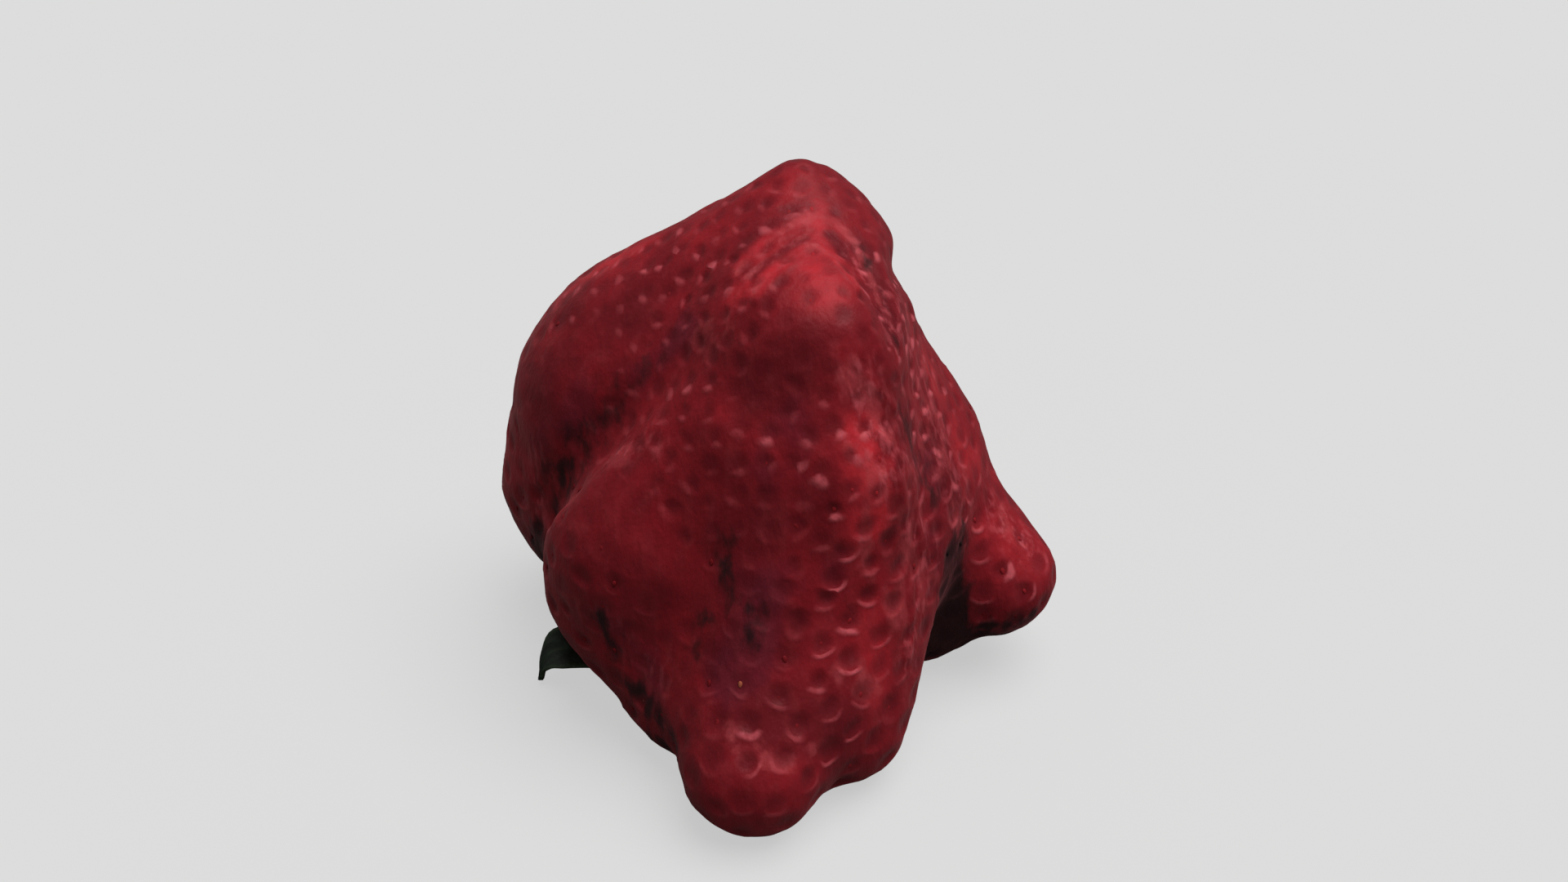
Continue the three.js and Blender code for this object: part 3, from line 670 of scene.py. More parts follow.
def fine_noise(points, scale, octaves):
    """Smooth noise at the points, mostly from -1 to 1, with a feature size in metres."""
    return np.array([noise.fractal(Vector(p) / scale, 1.0, 2.0, octaves) for p in points])


def wander(points, scale):
    """A smooth shift of up to about 1 each way, with a feature size in metres. It is the same on each run."""
    noise.seed_set(SEED)
    return np.array([noise.noise_vector(Vector(p) / scale) for p in points])


class Skin:
    """The achenes' sites on the smooth skin, and the pits round them."""

    def __init__(self, settings):
        random = np.random.default_rng(SEED)
        count = settings.achene_count
        self.settings = settings
        self.sites = achene_sites(count)
        self.normals = skin_normals(self.sites)
        swollen = smoothstep(-UNEVEN_EDGE, UNEVEN_EDGE, fine_noise(self.sites, UNEVEN_SIZE, 1))
        chance = random.uniform(*PIT_DEPTHS, count) * lerp(PIT_SHALLOW, 1, swollen)
        grown = smoothstep(SOFT_FROM, SOFT_TO, self.sites[:, 2])
        self.softness = np.clip(grown + random.uniform(-SOFT_SPREAD, SOFT_SPREAD, count), 0, 1)
        relief = relief_at(self.sites)
        self.depth = settings.pit_depth * chance * relief * lerp(1, SOFT_DEPTH, self.softness)
        self.turn = random.normal(0, PIT_TURN, count)
        self.radius = settings.pit_radius * site_pitch(self.sites) * random.uniform(*PIT_RADII, count)
        # How bright each pit's painted highlight on its lower lip is.
        highlighted = lerp(LIP_HIGHLIGHT_ELSEWHERE, 1, patch_mask(self.sites, LIP_HIGHLIGHTS))
        pale = random.uniform(0, 1, count) ** LIP_HIGHLIGHT_SKEW
        self.highlight_share = relief * highlighted * lerp(LIP_HIGHLIGHT_LEAST, 1, pale)
        self.tree = kdtree.KDTree(len(self.sites))
        for index, site in enumerate(self.sites):
            self.tree.insert(site, index)
        self.tree.balance()

    def nearest(self, points):
        """The nearest site's number for each point."""
        return np.array([self.tree.find(point)[1] for point in points])

    def relief(self, points, normals):
        """The skin's rise at the points, and where they are in the nearest pit, for the material."""
        points = points + PIT_WANDER * wander(points, PIT_WANDER_SIZE)
        site = self.nearest(points)
        offset = points - self.sites[site]
        grown = points - TIP
        straight = unit(grown - normals * dot(grown, normals)[:, None])
        turn = self.turn[site][:, None]
        downhill = straight * np.cos(turn) + np.cross(normals, straight) * np.sin(turn)
        gap = np.linalg.norm(offset, axis=1)
        lean = dot(offset, downhill) / np.maximum(gap, PROBE)
        reach = gap / (self.radius[site] * (PIT_REACH - PIT_SLIDE * lean))
        hollow = np.clip(1 - reach ** 2, 0, 1) ** 2
        ring = np.exp(-((reach - LIP_AT) / LIP_WIDTH) ** 2)
        lower = smoothstep(LIP_BEGINS, LIP_FULL, lean)
        softness = self.softness[site]
        depth = self.depth[site]
        full = self.settings.pit_depth
        strength = np.clip(depth / full / lerp(1, SOFT_DEPTH, softness), 0, 1) ** 0.5
        lip = self.settings.lip_height * lerp(1, SOFT_LIP, softness)
        rise = lip * ring * lerp(LIP_ELSEWHERE, 1, lower) * strength - hollow * depth
        return rise, {
            "pit_reach": reach, "pit_lean": lean, "pit_strength": strength, "pit_softness": softness,
            "pit_highlight": self.highlight_share[site]}


def set_attribute(mesh, name, values):
    """Stores one number for each vertex, for the material to read."""
    attribute = mesh.attributes.new(name, "FLOAT", "POINT")
    attribute.data.foreach_set("value", np.asarray(values, np.float32))


def finished_mesh(name, bm):
    """A mesh from a bmesh, which is then freed."""
    mesh = bpy.data.meshes.new(name)
    bm.to_mesh(mesh)
    bm.free()
    return mesh


def placed_object(name, data):
    """A new object in the scene for a mesh, a lamp or a camera."""
    thing = bpy.data.objects.new(name, data)
    bpy.context.scene.collection.objects.link(thing)
    return thing


def finished_piece(name, bm, material, node_names=()):
    """A smooth piece from a bmesh. It rides on the body, takes a slot's finish and stands for CAD nodes."""
    mesh = finished_mesh(name, bm)
    mesh.shade_smooth()
    mesh.materials.append(material)
    piece = placed_object(name, mesh)
    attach(piece, BODY)
    if node_names:
        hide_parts(*node_names)
    return piece


def fruit_net(sites):
    """A closed net of triangles between neighbouring sites, cut finely."""
    bm = bmesh.new()
    for direction in unit(sites - HEART):
        bm.verts.new(direction)
    bmesh.ops.convex_hull(bm, input=bm.verts)
    for vert, place in zip(bm.verts, sites):
        vert.co = place
    bmesh.ops.beautify_fill(bm, faces=bm.faces, edges=bm.edges)
    bmesh.ops.subdivide_edges(bm, edges=bm.edges, cuts=SKIN_CUTS, use_grid_fill=True)
    bmesh.ops.recalc_face_normals(bm, faces=bm.faces)
    return bm


def build_fruit(settings, skin):
    """The fruit's skin with its lumps, pits and lips, and its patches of colour."""
    bm = fruit_net(skin.sites)
    places = np.array([vert.co for vert in bm.verts])
    base = skin_points(unit(places - HEART))
    normals = skin_normals(base)
    rise, pit_places = skin.relief(base, normals)
    footing = smoothstep(FOOTING_FROM, LUMPS_FROM, base[:, 2])
    lumps = settings.lumps * footing * fine_noise(base, LUMP_SIZE, 2)
    folds = MM * patch_mask(base, FOLDS)
    shaped = grounded(base + normals * (rise + lumps + folds)[:, None])
    for vert, place in zip(bm.verts, shaped):
        vert.co = place
    piece = finished_piece("fruit_skin", bm, flesh_material(settings), ["fruit"])
    for name, values in pit_places.items():
        set_attribute(piece.data, name, values)
    for name, patches in PATCHES.items():
        set_attribute(piece.data, name, patch_mask(base, patches))
    return piece


def achene_mesh(length):
    """One teardrop achene, lying along X with its blunt end towards the tip."""
    bm = bmesh.new()
    bmesh.ops.create_uvsphere(bm, u_segments=ACHENE_SIDES, v_segments=ACHENE_RINGS, radius=1)
    for vert in bm.verts:
        across, rise, along = vert.co
        taper = ACHENE_WIDTH * (1 - ACHENE_TAPER * max(0.0, along))
        vert.co = Vector((along * 0.5, across * taper, rise * taper * ACHENE_FLATNESS)) * length
    bmesh.ops.recalc_face_normals(bm, faces=bm.faces)
    return finished_mesh("achene", bm)


def build_achenes(settings, skin):
    """A teardrop achene in each pit, pointing away from the tip."""
    random = np.random.default_rng(SEED + 1)
    seed_shape = achene_mesh(settings.achene_length)
    bm = bmesh.new()
    tones, places = [], []
    sunk = skin.depth + ACHENE_SINK + ACHENE_SOFT_SINK * skin.softness
    for site, normal, depth, below in zip(skin.sites, skin.normals, skin.depth, sunk):
        tone, lift = random.uniform(0, 1, 2)
        turn, scale = random.normal(0, ACHENE_TURN), random.uniform(*ACHENE_SIZES)
        if depth < ACHENE_NEEDS * settings.pit_depth or site[2] < ACHENE_NEEDS_HEIGHT:
            continue
        downhill = Vector(unit(np.cross(np.cross(normal, site - TIP), normal)))
        across = Vector(normal).cross(downhill)
        place = Matrix.Translation(site - normal * (below + (0.5 - lift) * ACHENE_SCATTER))
        facing = Matrix((downhill, across, normal)).transposed().to_4x4()
        one = seed_shape.copy()
        one.transform(place @ facing @ Matrix.Rotation(turn, 4, "Z") @ Matrix.Scale(scale, 4))
        bm.from_mesh(one)
        tones += [tone] * len(one.vertices)
        places += [site] * len(one.vertices)
        bpy.data.meshes.remove(one)
    bpy.data.meshes.remove(seed_shape)
    piece = finished_piece("achenes", bm, achene_material(settings))
    set_attribute(piece.data, "tone", tones)
    # Each achene carries the skin's blush and painted light, and its bruises and painted shade, from its
    # site.
    for name in ("blush_and_light", "bruise_and_shade"):
        set_attribute(piece.data, name, patch_mask(np.array(places), PATCHES[name]))
    return piece


# ---- calyx and stalk ----

def sepal_half_width(share, width):
    """A sepal swells from its waist, keeps its full width, and narrows late to a slim tip."""
    swelling = lerp(SEPAL_WAIST, 1, np.sin(np.minimum(share / SEPAL_WIDEST, 1) * math.pi / 2))
    narrowing = 1 - SEPAL_SLIMMING * smoothstep(SEPAL_NARROWS, 1, share)
    return np.where(share < SEPAL_WIDEST, swelling, narrowing) * width / 2


def faces_round(verts):
    """The faces that touch the vertices, each once and in a fixed order."""
    return list(dict.fromkeys(face for vert in verts for face in vert.link_faces))


def add_sepal(bm, width, tilt, side, midrib, thickness):
    """One sepal as a veined, gently guttered blade along its midrib."""
    width *= MM
    across = unit(np.array(side, float) + UP * tilt)
    places, tangents = centripetal_curve(np.array(midrib) * MM, SEPAL_ROWS + 1)
    outward = unit(np.cross(across, tangents))
    made = bmesh.ops.create_grid(bm, x_segments=SEPAL_COLUMNS, y_segments=SEPAL_ROWS, size=1)["verts"]
    faces = faces_round(made)
    grown = bmesh.ops.extrude_face_region(bm, geom=faces, use_keep_orig=True)["geom"]
    below = [part for part in grown if isinstance(part, bmesh.types.BMVert)]
    for vert in below:
        vert.co.z = -1
    made += below
    half = sepal_half_width(np.linspace(0, 1, SEPAL_ROWS + 1), width)
    edge_layer, vein_layer = bm.verts.layers.float["edge"], bm.verts.layers.float["vein"]
    for vert in made:
        row = round((vert.co.y + 1) / 2 * SEPAL_ROWS)
        place = vert.co.x
        share = row / SEPAL_ROWS
        gutter = SEPAL_GUTTER * abs(place) * half[row] * 2 / width
        vein_turn = 2 * math.pi * (share * SIDE_VEINS - abs(place) * VEIN_SLANT)
        side_vein = math.cos(vein_turn) * min(1, 4 * abs(place))
        midrib_share = math.exp(-(place / MIDRIB_WIDTH) ** 2)
        vert[edge_layer] = abs(place)
        vert[vein_layer] = max(midrib_share, max(0.0, side_vein) ** 4 * VEIN_PALENESS)
        vein = side_vein * VEIN_DEPTH
        rib = midrib_share * VEIN_DEPTH * 2
        ripple = SEPAL_RIPPLE * math.sin(share * SEPAL_WAVES + place * 2) * abs(place)
        rise = gutter + vein - rib + ripple + vert.co.z * thickness
        vert.co = places[row] + across * place * half[row] + outward[row] * rise
    bmesh.ops.recalc_face_normals(bm, faces=faces_round(made))


def build_calyx(settings):
    """The calyx: a turned disc with its sepals and bracts."""
    bm = bmesh.new()
    for name in ("edge", "vein"):
        bm.verts.layers.float.new(name)
    for width, tilt, side, midrib in SEPALS.values():
        add_sepal(bm, width, tilt, side, midrib, settings.sepal_thickness)
    middle_x, middle_y, _ = CALYX_SEAT
    outline = [
        bm.verts.new((middle_x + radius * MM, middle_y, height * MM)) for radius, height in DISC_OUTLINE]
    edges = [bm.edges.new(pair) for pair in zip(outline, outline[1:])]
    bmesh.ops.spin(
        bm, geom=outline + edges, cent=(middle_x, middle_y, 0), axis=UP, dvec=(0, 0, 0),
        angle=2 * math.pi, steps=DISC_SIDES, use_merge=True)
    bmesh.ops.remove_doubles(bm, verts=bm.verts, dist=0.001 * MM)
    bmesh.ops.recalc_face_normals(bm, faces=bm.faces)
    return finished_piece("calyx_leaves", bm, leaf_material(settings), ["calyx"])


def ring_matrix(place, tangent, radius):
    """Puts a unit circle on the stalk's line, facing down it."""
    turn = Vector((0, 0, -1)).rotation_difference(Vector(tangent)).to_matrix().to_4x4()
    return Matrix.Translation(Vector(place)) @ turn @ Matrix.Scale(radius, 4)


def build_stalk(settings):
    """The ribbed stalk, from the calyx to its dished cut end."""
    bm = bmesh.new()
    cut_layer = bm.verts.layers.float.new("cut")
    places, tangents = centripetal_curve(np.array(STALK)[:, :3] * MM, STALK_STATIONS)
    shares = np.linspace(0, 1, STALK_STATIONS)
    radii = np.interp(shares, np.linspace(0, 1, len(STALK)), np.array(STALK)[:, 3]) * MM
    rings = [ring_matrix(*ring) for ring in zip(places, tangents, radii)]
    end, down = places[-1], tangents[-1]
    rings += [ring_matrix(end + down * rise * MM, down, radius * MM) for radius, rise in CUT_RINGS]
    verts = bmesh.ops.create_circle(bm, segments=STALK_SIDES, radius=1)["verts"]
    for vert in verts:
        vert.co *= 1 + STALK_RIB_HEIGHT * math.cos(STALK_RIBS * math.atan2(vert.co.y, vert.co.x))
    bmesh.ops.transform(bm, matrix=rings[0], verts=verts)
    edges = bm.edges[:]
    bmesh.ops.holes_fill(bm, edges=edges)
    for index, (before, after) in enumerate(zip(rings, rings[1:])):
        made = bmesh.ops.extrude_edge_only(bm, edges=edges)["geom"]
        verts = [item for item in made if isinstance(item, bmesh.types.BMVert)]
        edges = [item for item in made if isinstance(item, bmesh.types.BMEdge)]
        bmesh.ops.transform(bm, matrix=after @ before.inverted(), verts=verts)
        for vert in verts:
            vert[cut_layer] = float(index >= STALK_STATIONS)
    bmesh.ops.holes_fill(bm, edges=edges)
    bmesh.ops.recalc_face_normals(bm, faces=bm.faces)
    return finished_piece("cut_stalk", bm, stalk_material(settings), ["stalk"])


# ---- materials ----

def add(tree, kind, options=None, **inputs):
    """Adds a node. An input is a number, a colour or another node's output."""
    node = tree.nodes.new("ShaderNode" + kind)
    for name, value in (options or {}).items():
        setattr(node, name, value)
    for name, value in inputs.items():
        plug(tree, node.inputs[name.replace("_", " ")], value)
    return node


def plug(tree, socket, value):
    """Sets a socket to a number or colour, or links it to another node's output."""
    if isinstance(value, bpy.types.NodeSocket):
        tree.links.new(value, socket)
    else:
        socket.default_value = value


def rgba(colour, share=1.0):
    """A share of a colour's brightness, with its alpha."""
    return (*(share * part for part in colour), 1.0)


def mix(tree, share, first, second):
    """The colour between two colours."""
    node = add(tree, "Mix", {"data_type": "RGBA"})
    plug(tree, node.inputs[0], share)
    plug(tree, node.inputs[6], first)
    plug(tree, node.inputs[7], second)
    return node.outputs[2]


def mix_shader(tree, share, first, second):
    """The shader between two shaders."""
    node = add(tree, "MixShader", Fac=share)
    plug(tree, node.inputs[1], first.outputs[0])
    plug(tree, node.inputs[2], second.outputs[0])
    return node


def calculate(tree, operation, *values):
    """A Math node's result."""
    node = add(tree, "Math", {"operation": operation})
    for socket, value in zip(node.inputs, values):
        plug(tree, socket, value)
    return node.outputs[0]


def linear(tree, value, slope, start):
    """The start, plus the value times the slope."""
    return calculate(tree, "MULTIPLY_ADD", value, slope, start)


def product(tree, *values):
    """Numbers multiplied together."""
    result = values[0]
    for value in values[1:]:
        result = calculate(tree, "MULTIPLY", result, value)
    return result


def ramp(tree, value, low, high):
    """From 0 at low to 1 at high, flat at both ends. High may be the smaller."""
    smooth = {"interpolation_type": "SMOOTHSTEP"}
    return add(tree, "MapRange", smooth, Value=value, From_Min=low, From_Max=high).outputs["Result"]


def layered(tree, colour, layers):
    """A colour with others over it in turn, each by its mask and its strength."""
    for mask, strength, over in layers:
        colour = mix(tree, product(tree, mask, strength), colour, over)
    return colour


def read(tree, name):
    """A number stored on the mesh."""
    return add(tree, "Attribute", {"attribute_name": name}).outputs["Fac"]


def new_group(name, inputs, outputs):
    """An empty shader node group with number sockets, and its ends."""
    group = bpy.data.node_groups.new(name, "ShaderNodeTree")
    for label, default in inputs.items():
        socket = group.interface.new_socket(label, in_out="INPUT", socket_type="NodeSocketFloat")
        socket.default_value = default
    for label in outputs:
        group.interface.new_socket(label, in_out="OUTPUT", socket_type="NodeSocketFloat")
    ends = group.nodes.new("NodeGroupInput"), group.nodes.new("NodeGroupOutput")
    return group, ends[0].outputs, ends[1].inputs


def mottle_group():
    """Blotchy noise from 0 to 1. Stretch below 1 draws the blotches out up and down the fruit."""
    sockets = {"Scale": 200.0, "Stretch": 1.0, "Detail": 2.0, "Low": 0.35, "High": 0.65}
    group, given, result = new_group("mottle", sockets, ["Share"])
    place = add(group, "TexCoord").outputs["Object"]
    stretch = add(group, "CombineXYZ", X=1.0, Y=1.0, Z=given["Stretch"]).outputs[0]
    drawn = add(group, "VectorMath", {"operation": "MULTIPLY"})
    plug(group, drawn.inputs[0], place)
    plug(group, drawn.inputs[1], stretch)
    blotches = add(group, "TexNoise", Vector=drawn.outputs[0], Scale=given["Scale"], Detail=given["Detail"])
    plug(group, result["Share"], ramp(group, blotches.outputs["Fac"], given["Low"], given["High"]))
    return group


def ragged_group():
    """A soft mask with its edge broken up by noise. Where there is no mask, the noise adds nothing."""
    sockets = {"Mask": 0.0, "Scale": 500.0, "Stretch": 1.0, "Raggedness": 0.6, "Low": 0.2, "High": 0.6}
    group, given, result = new_group("ragged edge", sockets, ["Share"])
    blotch = use(
        group, "mottle", Scale=given["Scale"], Stretch=given["Stretch"], Detail=3.0, Low=0.3, High=0.7)
    shift = product(group, calculate(group, "SUBTRACT", blotch, 0.5), given["Raggedness"])
    present = calculate(group, "MINIMUM", product(group, given["Mask"], 6.0), 1.0)
    broken = calculate(group, "ADD", given["Mask"], product(group, shift, present))
    plug(group, result["Share"], ramp(group, broken, given["Low"], given["High"]))
    return group


GROUP_MAKERS = {"mottle": mottle_group, "ragged edge": ragged_group}


def use(tree, name, **inputs):
    """A shared effect's result, with this material's own values."""
    group = bpy.data.node_groups.get(name) or GROUP_MAKERS[name]()
    return add(tree, "Group", {"node_tree": group}, **inputs).outputs[0]


def new_material(name):
    """A material with only a Principled shader, and its node tree."""
    material = bpy.data.materials.new(name)
    material.use_nodes = True
    tree = material.node_tree
    return material, tree, tree.nodes["Principled BSDF"]


def dress(tree, shader, colour, roughness, height, relief):
    """Gives a shader its colour and roughness, and a bump as high as the relief where the height is 1."""
    plug(tree, shader.inputs["Base Color"], colour)
    plug(tree, shader.inputs["Roughness"], roughness)
    bump = add(tree, "Bump", Strength=1.0, Distance=relief, Height=height)
    plug(tree, shader.inputs["Normal"], bump.outputs["Normal"])


def pit_shades(tree):
    """How far a spot is in a pit's hollow, for painted shade, and on its lower lip, for a painted highlight:
    a crisp arc, or a soft smudge.
    """
    reach, softness = read(tree, "pit_reach"), read(tree, "pit_softness")

    def by_softness(crisp, soft):
        """From one value where the pit is crisp to another where it is soft."""
        return linear(tree, softness, soft - crisp, crisp)

    # Painted shade: the skin darkens towards the bottom of each pit's hollow.
    hollow = product(tree, ramp(tree, reach, 1.05, 0.25), read(tree, "pit_strength"))
    inner = ramp(tree, reach, by_softness(0.75, 0.05), by_softness(0.92, 0.7))
    outer = ramp(tree, reach, by_softness(1.3, 1.55), by_softness(1.05, 0.8))
    below = ramp(tree, read(tree, "pit_lean"), by_softness(0.3, 0.6), 1.0)
    broken = use(tree, "mottle", Scale=1000.0, Stretch=0.7, Detail=2.0, Low=0.3, High=0.7)
    pale = product(tree, read(tree, "pit_highlight"), linear(tree, broken, 0.6, 0.4), 1.5)
    return hollow, calculate(tree, "MINIMUM", product(tree, inner, outer, below, pale), 1.0)


def patch(tree, name, **look):
    """One kind of patch on the skin, with a ragged edge."""
    return use(tree, "ragged edge", Mask=read(tree, name), **look)


def flesh_material(settings):
    """Moist red skin: mottled and purple in patches, with blush and painted light on its crests, pale dull
    patches and painted highlights, painted highlights on the pits' lower lips, and painted shade in the pits,
    creases and crevices.
    """
    material, tree, shader = new_material("strawberry flesh")
    ripe, deep, lip_highlight_colour = rgba(settings.ripe), rgba(settings.deep), rgba(settings.lip)
    haze_and_highlight = rgba(settings.haze_and_highlight)
    hollow, lip = pit_shades(tree)
    mottle = use(tree, "mottle", Scale=170.0, Stretch=0.7, Detail=3.0, Low=0.3, High=0.72)
    clouds = use(tree, "mottle", Scale=520.0, Stretch=0.5, Detail=3.0, Low=0.35, High=0.75)
    streak = use(tree, "mottle", Scale=900.0, Stretch=0.16, Detail=2.0, Low=0.42, High=0.8)
    strand = use(tree, "mottle", Scale=1350.0, Stretch=0.33, Detail=2.0, Low=0.46, High=0.72)
    grain = use(tree, "mottle", Scale=2600.0, Stretch=0.5, Detail=3.0, Low=0.2, High=0.8)
    wisps = product(tree, read(tree, "wisps"), strand)
    hazy_and_highlit = patch(tree, "haze_and_highlight", Scale=620.0, Stretch=0.5, Raggedness=1.1, Low=0.15, High=1.1)
    hazy_and_highlit = product(tree, hazy_and_highlit, linear(tree, strand, 0.5, 0.7))
    bruised_and_shaded = patch(tree, "bruise_and_shade", Scale=800.0, Stretch=0.45, Raggedness=0.9, Low=0.1, High=1.2)
    blushing_and_lit = patch(tree, "blush_and_light", Scale=160.0, Raggedness=0.4, Low=0.05, High=0.95)
    bloomed = patch(tree, "bloom", Scale=260.0, Stretch=0.5, Low=0.1, High=1.0)
    shaded = patch(tree, "shade", Scale=160.0, Raggedness=0.4, Low=0.05, High=0.95)
    # The blush layer brightens the lit crests with painted light, the shade and pit-hollow layers add painted
    # shade, the haze and lip layers add painted highlights, and the bruise layer adds real blotches and
    # painted shade in the creases and crevices.
    colour = layered(tree, mix(tree, mottle, mix(tree, 0.45, deep, ripe), ripe), [
        (blushing_and_lit, 0.85, rgba(settings.bright)), (shaded, 0.7, deep), (clouds, 0.3, deep),
        (bloomed, 0.7, rgba(settings.bloom)), (streak, 0.12, haze_and_highlight), (hazy_and_highlit, 0.6, haze_and_highlight), (hollow, 0.68, deep),
        (wisps, 0.55, lip_highlight_colour), (lip, 0.85, lip_highlight_colour), (bruised_and_shaded, 0.93, rgba(settings.bruise_and_shade))])
    dullness = calculate(tree, "MAXIMUM", hazy_and_highlit, bruised_and_shaded)
    roughness = calculate(tree, "ADD", linear(tree, mottle, 0.1, 0.42), product(tree, dullness, 0.15))
    height = linear(tree, lip, 1.5, linear(tree, streak, 0.8, linear(tree, wisps, 2.0, grain)))
    dress(tree, shader, colour, roughness, height, 0.03 * MM)
    for name, value in FLESH_SHADER.items():
        shader.inputs[name].default_value = value
    return material


def achene_material(settings):
    """Hard achenes, about as red as the skin round them, with a few golden ones."""
    material, tree, shader = new_material("strawberry achene")
    mottle = use(tree, "mottle", Scale=1500.0, Low=0.3, High=0.7)
    dark = mix(tree, mottle, rgba(settings.achene_dark), rgba(settings.achene_dark, 0.7))
    # The achenes brighten with the skin's painted light and darken with its painted shade and bruises.
    colour = layered(tree, dark, [(read(tree, "blush_and_light"), 0.6, rgba(settings.bright))])
    colour = mix(tree, ramp(tree, read(tree, "tone"), 0.96, 1.0), colour, rgba(settings.achene_gold))
    colour = mix(tree, ramp(tree, read(tree, "bruise_and_shade"), 0.4, 1.1), colour, rgba(settings.bruise_and_shade))
    dress(tree, shader, colour, linear(tree, mottle, 0.15, 0.55), mottle, 0.02 * MM)
    shader.inputs["Specular IOR Level"].default_value = 0.1
    return material


def leaf_material(settings):
    """Dull dark sepals with paler veins and edges."""
    material, tree, shader = new_material("strawberry sepal")
    mottle = use(tree, "mottle", Scale=500.0, Detail=3.0, Low=0.3, High=0.7)
    grain = use(tree, "mottle", Scale=2200.0, Detail=3.0, Low=0.2, High=0.8)
    edge = ramp(tree, read(tree, "edge"), 0.7, 1.0)
    pale = calculate(tree, "MAXIMUM", edge, product(tree, read(tree, "vein"), 0.5))
    dark = mix(tree, mottle, rgba(settings.leaf, 0.6), rgba(settings.leaf))
    colour = mix(tree, pale, dark, rgba(settings.leaf_edge))
    dress(tree, shader, colour, linear(tree, mottle, 0.15, 0.55), grain, 0.04 * MM)
    return material


def stalk_material(settings):
    """A dull green stalk with a pale cut end."""
    material, tree, shader = new_material("strawberry stalk")
    mottle = use(tree, "mottle", Scale=700.0, Stretch=0.2, Detail=3.0, Low=0.3, High=0.7)
    green = mix(tree, mottle, rgba(settings.stem), rgba(settings.stem, 0.55))
    colour = mix(tree, read(tree, "cut"), green, rgba(settings.cut))
    dress(tree, shader, colour, linear(tree, mottle, 0.15, 0.5), mottle, 0.05 * MM)
    return material


def floor_material(settings):
    """A plain pale floor, faintly uneven. It throws little light back at what stands on it."""
    material, tree, shader = new_material("studio floor")
    mottle = use(tree, "mottle", Scale=30.0, Detail=2.0)
    pale = mix(tree, mottle, rgba(settings.floor, 0.99), rgba(settings.floor))
    plug(tree, shader.inputs["Base Color"], pale)
    shader.inputs["Roughness"].default_value = 0.9
    shader.inputs["Specular IOR Level"].default_value = 0.0
    dim = add(tree, "BsdfDiffuse", Color=rgba(settings.floor, BOUNCE))
    glow = add(tree, "Emission", Color=rgba(settings.room), Strength=1.0)
    seen = mix_shader(tree, FLOOR_GLOW, shader, glow)
    whole = mix_shader(tree, add(tree, "LightPath").outputs["Is Camera Ray"], dim, seen)
    plug(tree, tree.nodes["Material Output"].inputs["Surface"], whole.outputs[0])
    return material


# ---- stage ----

def build_floor(settings):
    """The floor that the fruit stands on."""
    bm = bmesh.new()
    bmesh.ops.create_grid(bm, x_segments=FLOOR_SQUARES, y_segments=FLOOR_SQUARES, size=FLOOR_SIZE)
    mesh = finished_mesh("floor", bm)
    mesh.materials.append(floor_material(settings))
    placed_object("floor", mesh)


def build_lights(settings):
    """A large soft lamp overhead, a little to the right, and an even room."""
    lamp = bpy.data.lights.new("overhead lamp", "SUN")
    lamp.energy = settings.lamp
    lamp.angle = LAMP_SPREAD
    holder = placed_object("overhead lamp", lamp)
    holder.rotation_euler = Vector(LAMP_DIRECTION).to_track_quat("Z", "Y").to_euler()
    room = bpy.data.worlds.new("room")
    room.use_nodes = True
    tree = room.node_tree
    tree.nodes.clear()
    seen = add(tree, "Background", Color=rgba(settings.room), Strength=1.0)
    lighting = add(tree, "Background", Color=rgba(settings.room), Strength=settings.fill)
    whole = mix_shader(tree, add(tree, "LightPath").outputs["Is Camera Ray"], lighting, seen)
    plug(tree, add(tree, "OutputWorld").inputs["Surface"], whole.outputs[0])
    bpy.context.scene.world = room


def build_camera():
    """The camera looks down at the fruit from the front."""
    camera = placed_object("camera", bpy.data.cameras.new("camera"))
    camera.data.sensor_width = SENSOR_WIDTH
    camera.data.lens = FOCAL_LENGTH
    camera.data.clip_start = CLIP_START
    camera.data.clip_end = 4 * FLOOR_SIZE
    back = Vector((0, -math.cos(CAMERA_ELEVATION), math.sin(CAMERA_ELEVATION)))
    camera.location = CAMERA_TARGET + back * CAMERA_DISTANCE
    camera.rotation_euler = back.to_track_quat("Z", "Y").to_euler()
    bpy.context.scene.camera = camera


# ---- operators, panel and registration ----

class STRAWBERRY_OT_fruit(bpy.types.Operator):
    """Build the fruit's skin and the achenes in its pits"""

    bl_idname = "strawberry.fruit"
    bl_label = "Fruit and Achenes"

    def execute(self, context):
        settings = context.scene.strawberry_fruit
        skin = Skin(settings)
        build_fruit(settings, skin)
        build_achenes(settings, skin)
        return {"FINISHED"}


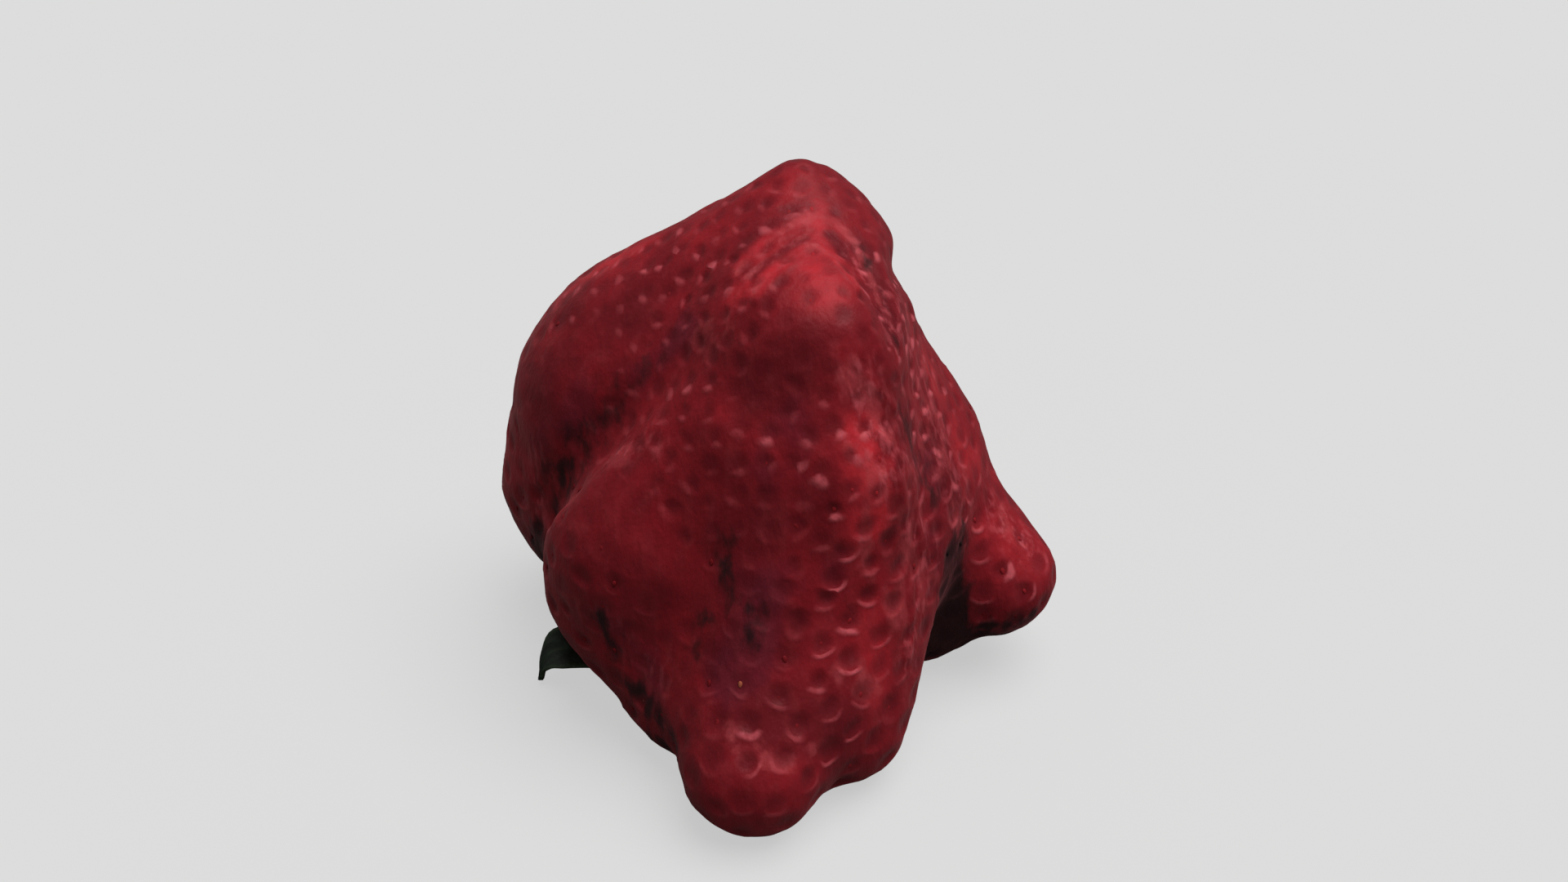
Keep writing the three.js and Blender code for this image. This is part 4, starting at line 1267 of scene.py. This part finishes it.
class STRAWBERRY_OT_calyx(bpy.types.Operator):
    """Build the calyx: its disc, sepals and bracts"""

    bl_idname = "strawberry.calyx"
    bl_label = "Calyx"

    def execute(self, context):
        build_calyx(context.scene.strawberry_calyx)
        return {"FINISHED"}


class STRAWBERRY_OT_stalk(bpy.types.Operator):
    """Build the cut stalk"""

    bl_idname = "strawberry.stalk"
    bl_label = "Stalk"

    def execute(self, context):
        build_stalk(context.scene.strawberry_calyx)
        return {"FINISHED"}


class STRAWBERRY_OT_stage(bpy.types.Operator):
    """Build the floor, the lights and the camera"""

    bl_idname = "strawberry.stage"
    bl_label = "Stage"

    def execute(self, context):
        settings = context.scene.strawberry_stage
        build_camera()
        build_floor(settings)
        build_lights(settings)
        context.scene.view_settings.view_transform = "Standard"
        return {"FINISHED"}


OPERATORS = [STRAWBERRY_OT_stage, STRAWBERRY_OT_fruit, STRAWBERRY_OT_calyx, STRAWBERRY_OT_stalk]


class STRAWBERRY_PT_panel(bpy.types.Panel):
    """Lists the strawberry's pieces and their settings"""

    bl_idname = "STRAWBERRY_PT_panel"
    bl_label = "Lobed Strawberry"
    bl_space_type = "VIEW_3D"
    bl_region_type = "UI"
    bl_category = "Strawberry"

    def draw(self, context):
        for operator in OPERATORS:
            self.layout.operator(operator.bl_idname)
        for name, group in SETTINGS.items():
            box = self.layout.box()
            for setting in group.__annotations__:
                box.prop(getattr(context.scene, name), setting)


def register():
    """Adds the settings, operators and panel."""
    for cls in [*SETTINGS.values(), *OPERATORS, STRAWBERRY_PT_panel]:
        bpy.utils.register_class(cls)
    for name, group in SETTINGS.items():
        setattr(bpy.types.Scene, name, bpy.props.PointerProperty(type=group))


def unregister():
    """Takes them away again."""
    for name in SETTINGS:
        delattr(bpy.types.Scene, name)
    for cls in [STRAWBERRY_PT_panel, *reversed(OPERATORS), *reversed(SETTINGS.values())]:
        bpy.utils.unregister_class(cls)


def main():
    """Builds everything in order."""
    register()
    bpy.ops.strawberry.stage()
    bpy.ops.strawberry.fruit()
    bpy.ops.strawberry.calyx()
    bpy.ops.strawberry.stalk()


if __name__ == "__main__":
    main()
